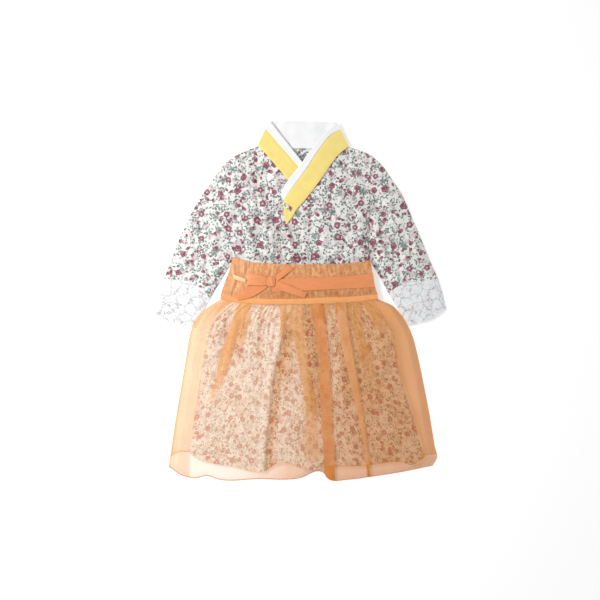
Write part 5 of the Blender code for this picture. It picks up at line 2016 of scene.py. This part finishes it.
    def back_sheet(self) -> None:
        """The back, which lies on the ground and ends a little higher than the front."""
        down = parts(60)
        across = np.broadcast_to(parts(120), (down.size, 121))
        plan = OVER_FLARE.plan(across, down * self.back_length)
        hem = smooth_curve(self.back_hem)
        low = np.interp(across[-1], (hem[:, 0] - hem[0, 0]) / np.ptp(hem[:, 0]), hem[:, 1])
        top = plan[0, :, 1]
        x = plan[..., 0]
        y = top + (low - top) * down[:, None]
        waves = 1 + np.sin(TURN * (across * 24 + 0.6 * np.sin(across * 17)))
        tucks = 0.35 * waves * (1 - ease(down[:, None] / 0.4))
        height = 0.25 + cuff_lift(x, y) + tucks
        full = self.density(x, y) + self.beside(x, y, 1.2, 0.9) + self.selvage(across)
        full = full + 1.2 * (1 - ease(down[:, None] / 0.35))
        surface = np.stack([x, y, height], axis=-1)
        reach = lengths(surface[-1])
        cut = paired(reach[None, :] + 700.0, y)
        piece = sewn("overskirt_back", "sheet", SHEER, "floor", "gathered")
        piece.draft.skin(piece.draft.grid(surface, cut, full, self.shade(x, y)), cloth=True)
        piece.place([self.rolled_hem("overskirt_back_hem", surface[-1] + np.array([0.0, 0.0, 0.5]), 0.7)])

    def build(self) -> None:
        """The back, then the front."""
        self.back_sheet()
        self.front_sheet()


# ---- studio

@dataclass
class Studio:
    """Pale floor, soft light from the wearer's right, and a camera straight above.

    Attributes:
        frame_width: Width of the view on the ground.
        lens: Focal length.
        sensor: Sensor width.
        key_place: The key light's place from the garment's middle.
        key_power: Its power in watts.
        key_size: Its width.
        fill: Strength of the light from all round.
        floor_glow: Light of the floor itself, as of a lit table.
    """

    frame_width: float = 0.960
    lens: float = 100.0
    sensor: float = 36.0
    key_place: Triple = (-0.80, 0.20, 0.70)
    key_power: float = 8.6
    key_size: float = 0.45
    fill: float = 0.54
    floor_glow: float = 0.40
    cloth_level: float = 0.005

    def build_camera(self) -> None:
        """Camera that looks straight down, with the collar at the top."""
        data = bpy.data.cameras.new("camera")
        data.lens = self.lens
        data.sensor_width = self.sensor
        camera = bpy.data.objects.new("camera", data)
        distance = self.frame_width * self.lens / self.sensor
        camera.location = (PLACE[0] * MM, PLACE[1] * MM, self.cloth_level + distance)
        bpy.context.scene.collection.objects.link(camera)
        bpy.context.scene.camera = camera

    def build_lights(self) -> None:
        """One soft key light and an even fill."""
        data = bpy.data.lights.new("key", "AREA")
        data.shape = "SQUARE"
        data.size = self.key_size
        data.energy = self.key_power
        key = bpy.data.objects.new("key", data)
        key.location = self.key_place
        key.rotation_mode = "QUATERNION"
        key.rotation_quaternion = Vector(self.key_place).to_track_quat("Z", "Y")
        bpy.context.scene.collection.objects.link(key)
        world = bpy.data.worlds.new("fill")
        world.use_nodes = True
        background = world.node_tree.nodes["Background"]
        background.inputs["Color"].default_value = (1.0, 1.0, 1.0, 1.0)
        background.inputs["Strength"].default_value = self.fill
        bpy.context.scene.world = world

    def build_floor(self) -> None:
        """Plain floor just below the cloth."""
        half = 3.0
        mesh = bpy.data.meshes.new("floor")
        corners = [(x, y, -0.0003) for x, y in ((-half, -half), (half, -half), (half, half), (-half, half))]
        mesh.from_pydata(corners, [], [(0, 1, 2, 3)])
        dye = Dye("pale_floor")
        dye.set(Base_Color=(0.82, 0.82, 0.82), Roughness=0.9, Emission_Color=(1.0, 1.0, 1.0),
                Emission_Strength=self.floor_glow, Specular_IOR_Level=0.1)
        mesh.materials.append(dye.material)
        floor = bpy.data.objects.new("floor", mesh)
        bpy.context.scene.collection.objects.link(floor)

    def build(self) -> None:
        """Camera, lights and floor, and an untinted view."""
        self.build_camera()
        self.build_lights()
        self.build_floor()
        bpy.context.scene.view_settings.view_transform = "Standard"


def main() -> None:
    """Build the whole set and its studio."""
    logging.basicConfig(level=logging.INFO, format="%(name)s: %(message)s")
    Studio().build()
    jacket = Jacket()
    jacket.build_back()
    jacket.build_fronts()
    jacket.build_sleeves()
    jacket.build_cuffs()
    Collar().build()
    Waist().build()
    FloralSkirt().build()
    OrganzaSkirt().build()
    Bow().build()


if __name__ == "__main__":
    main()
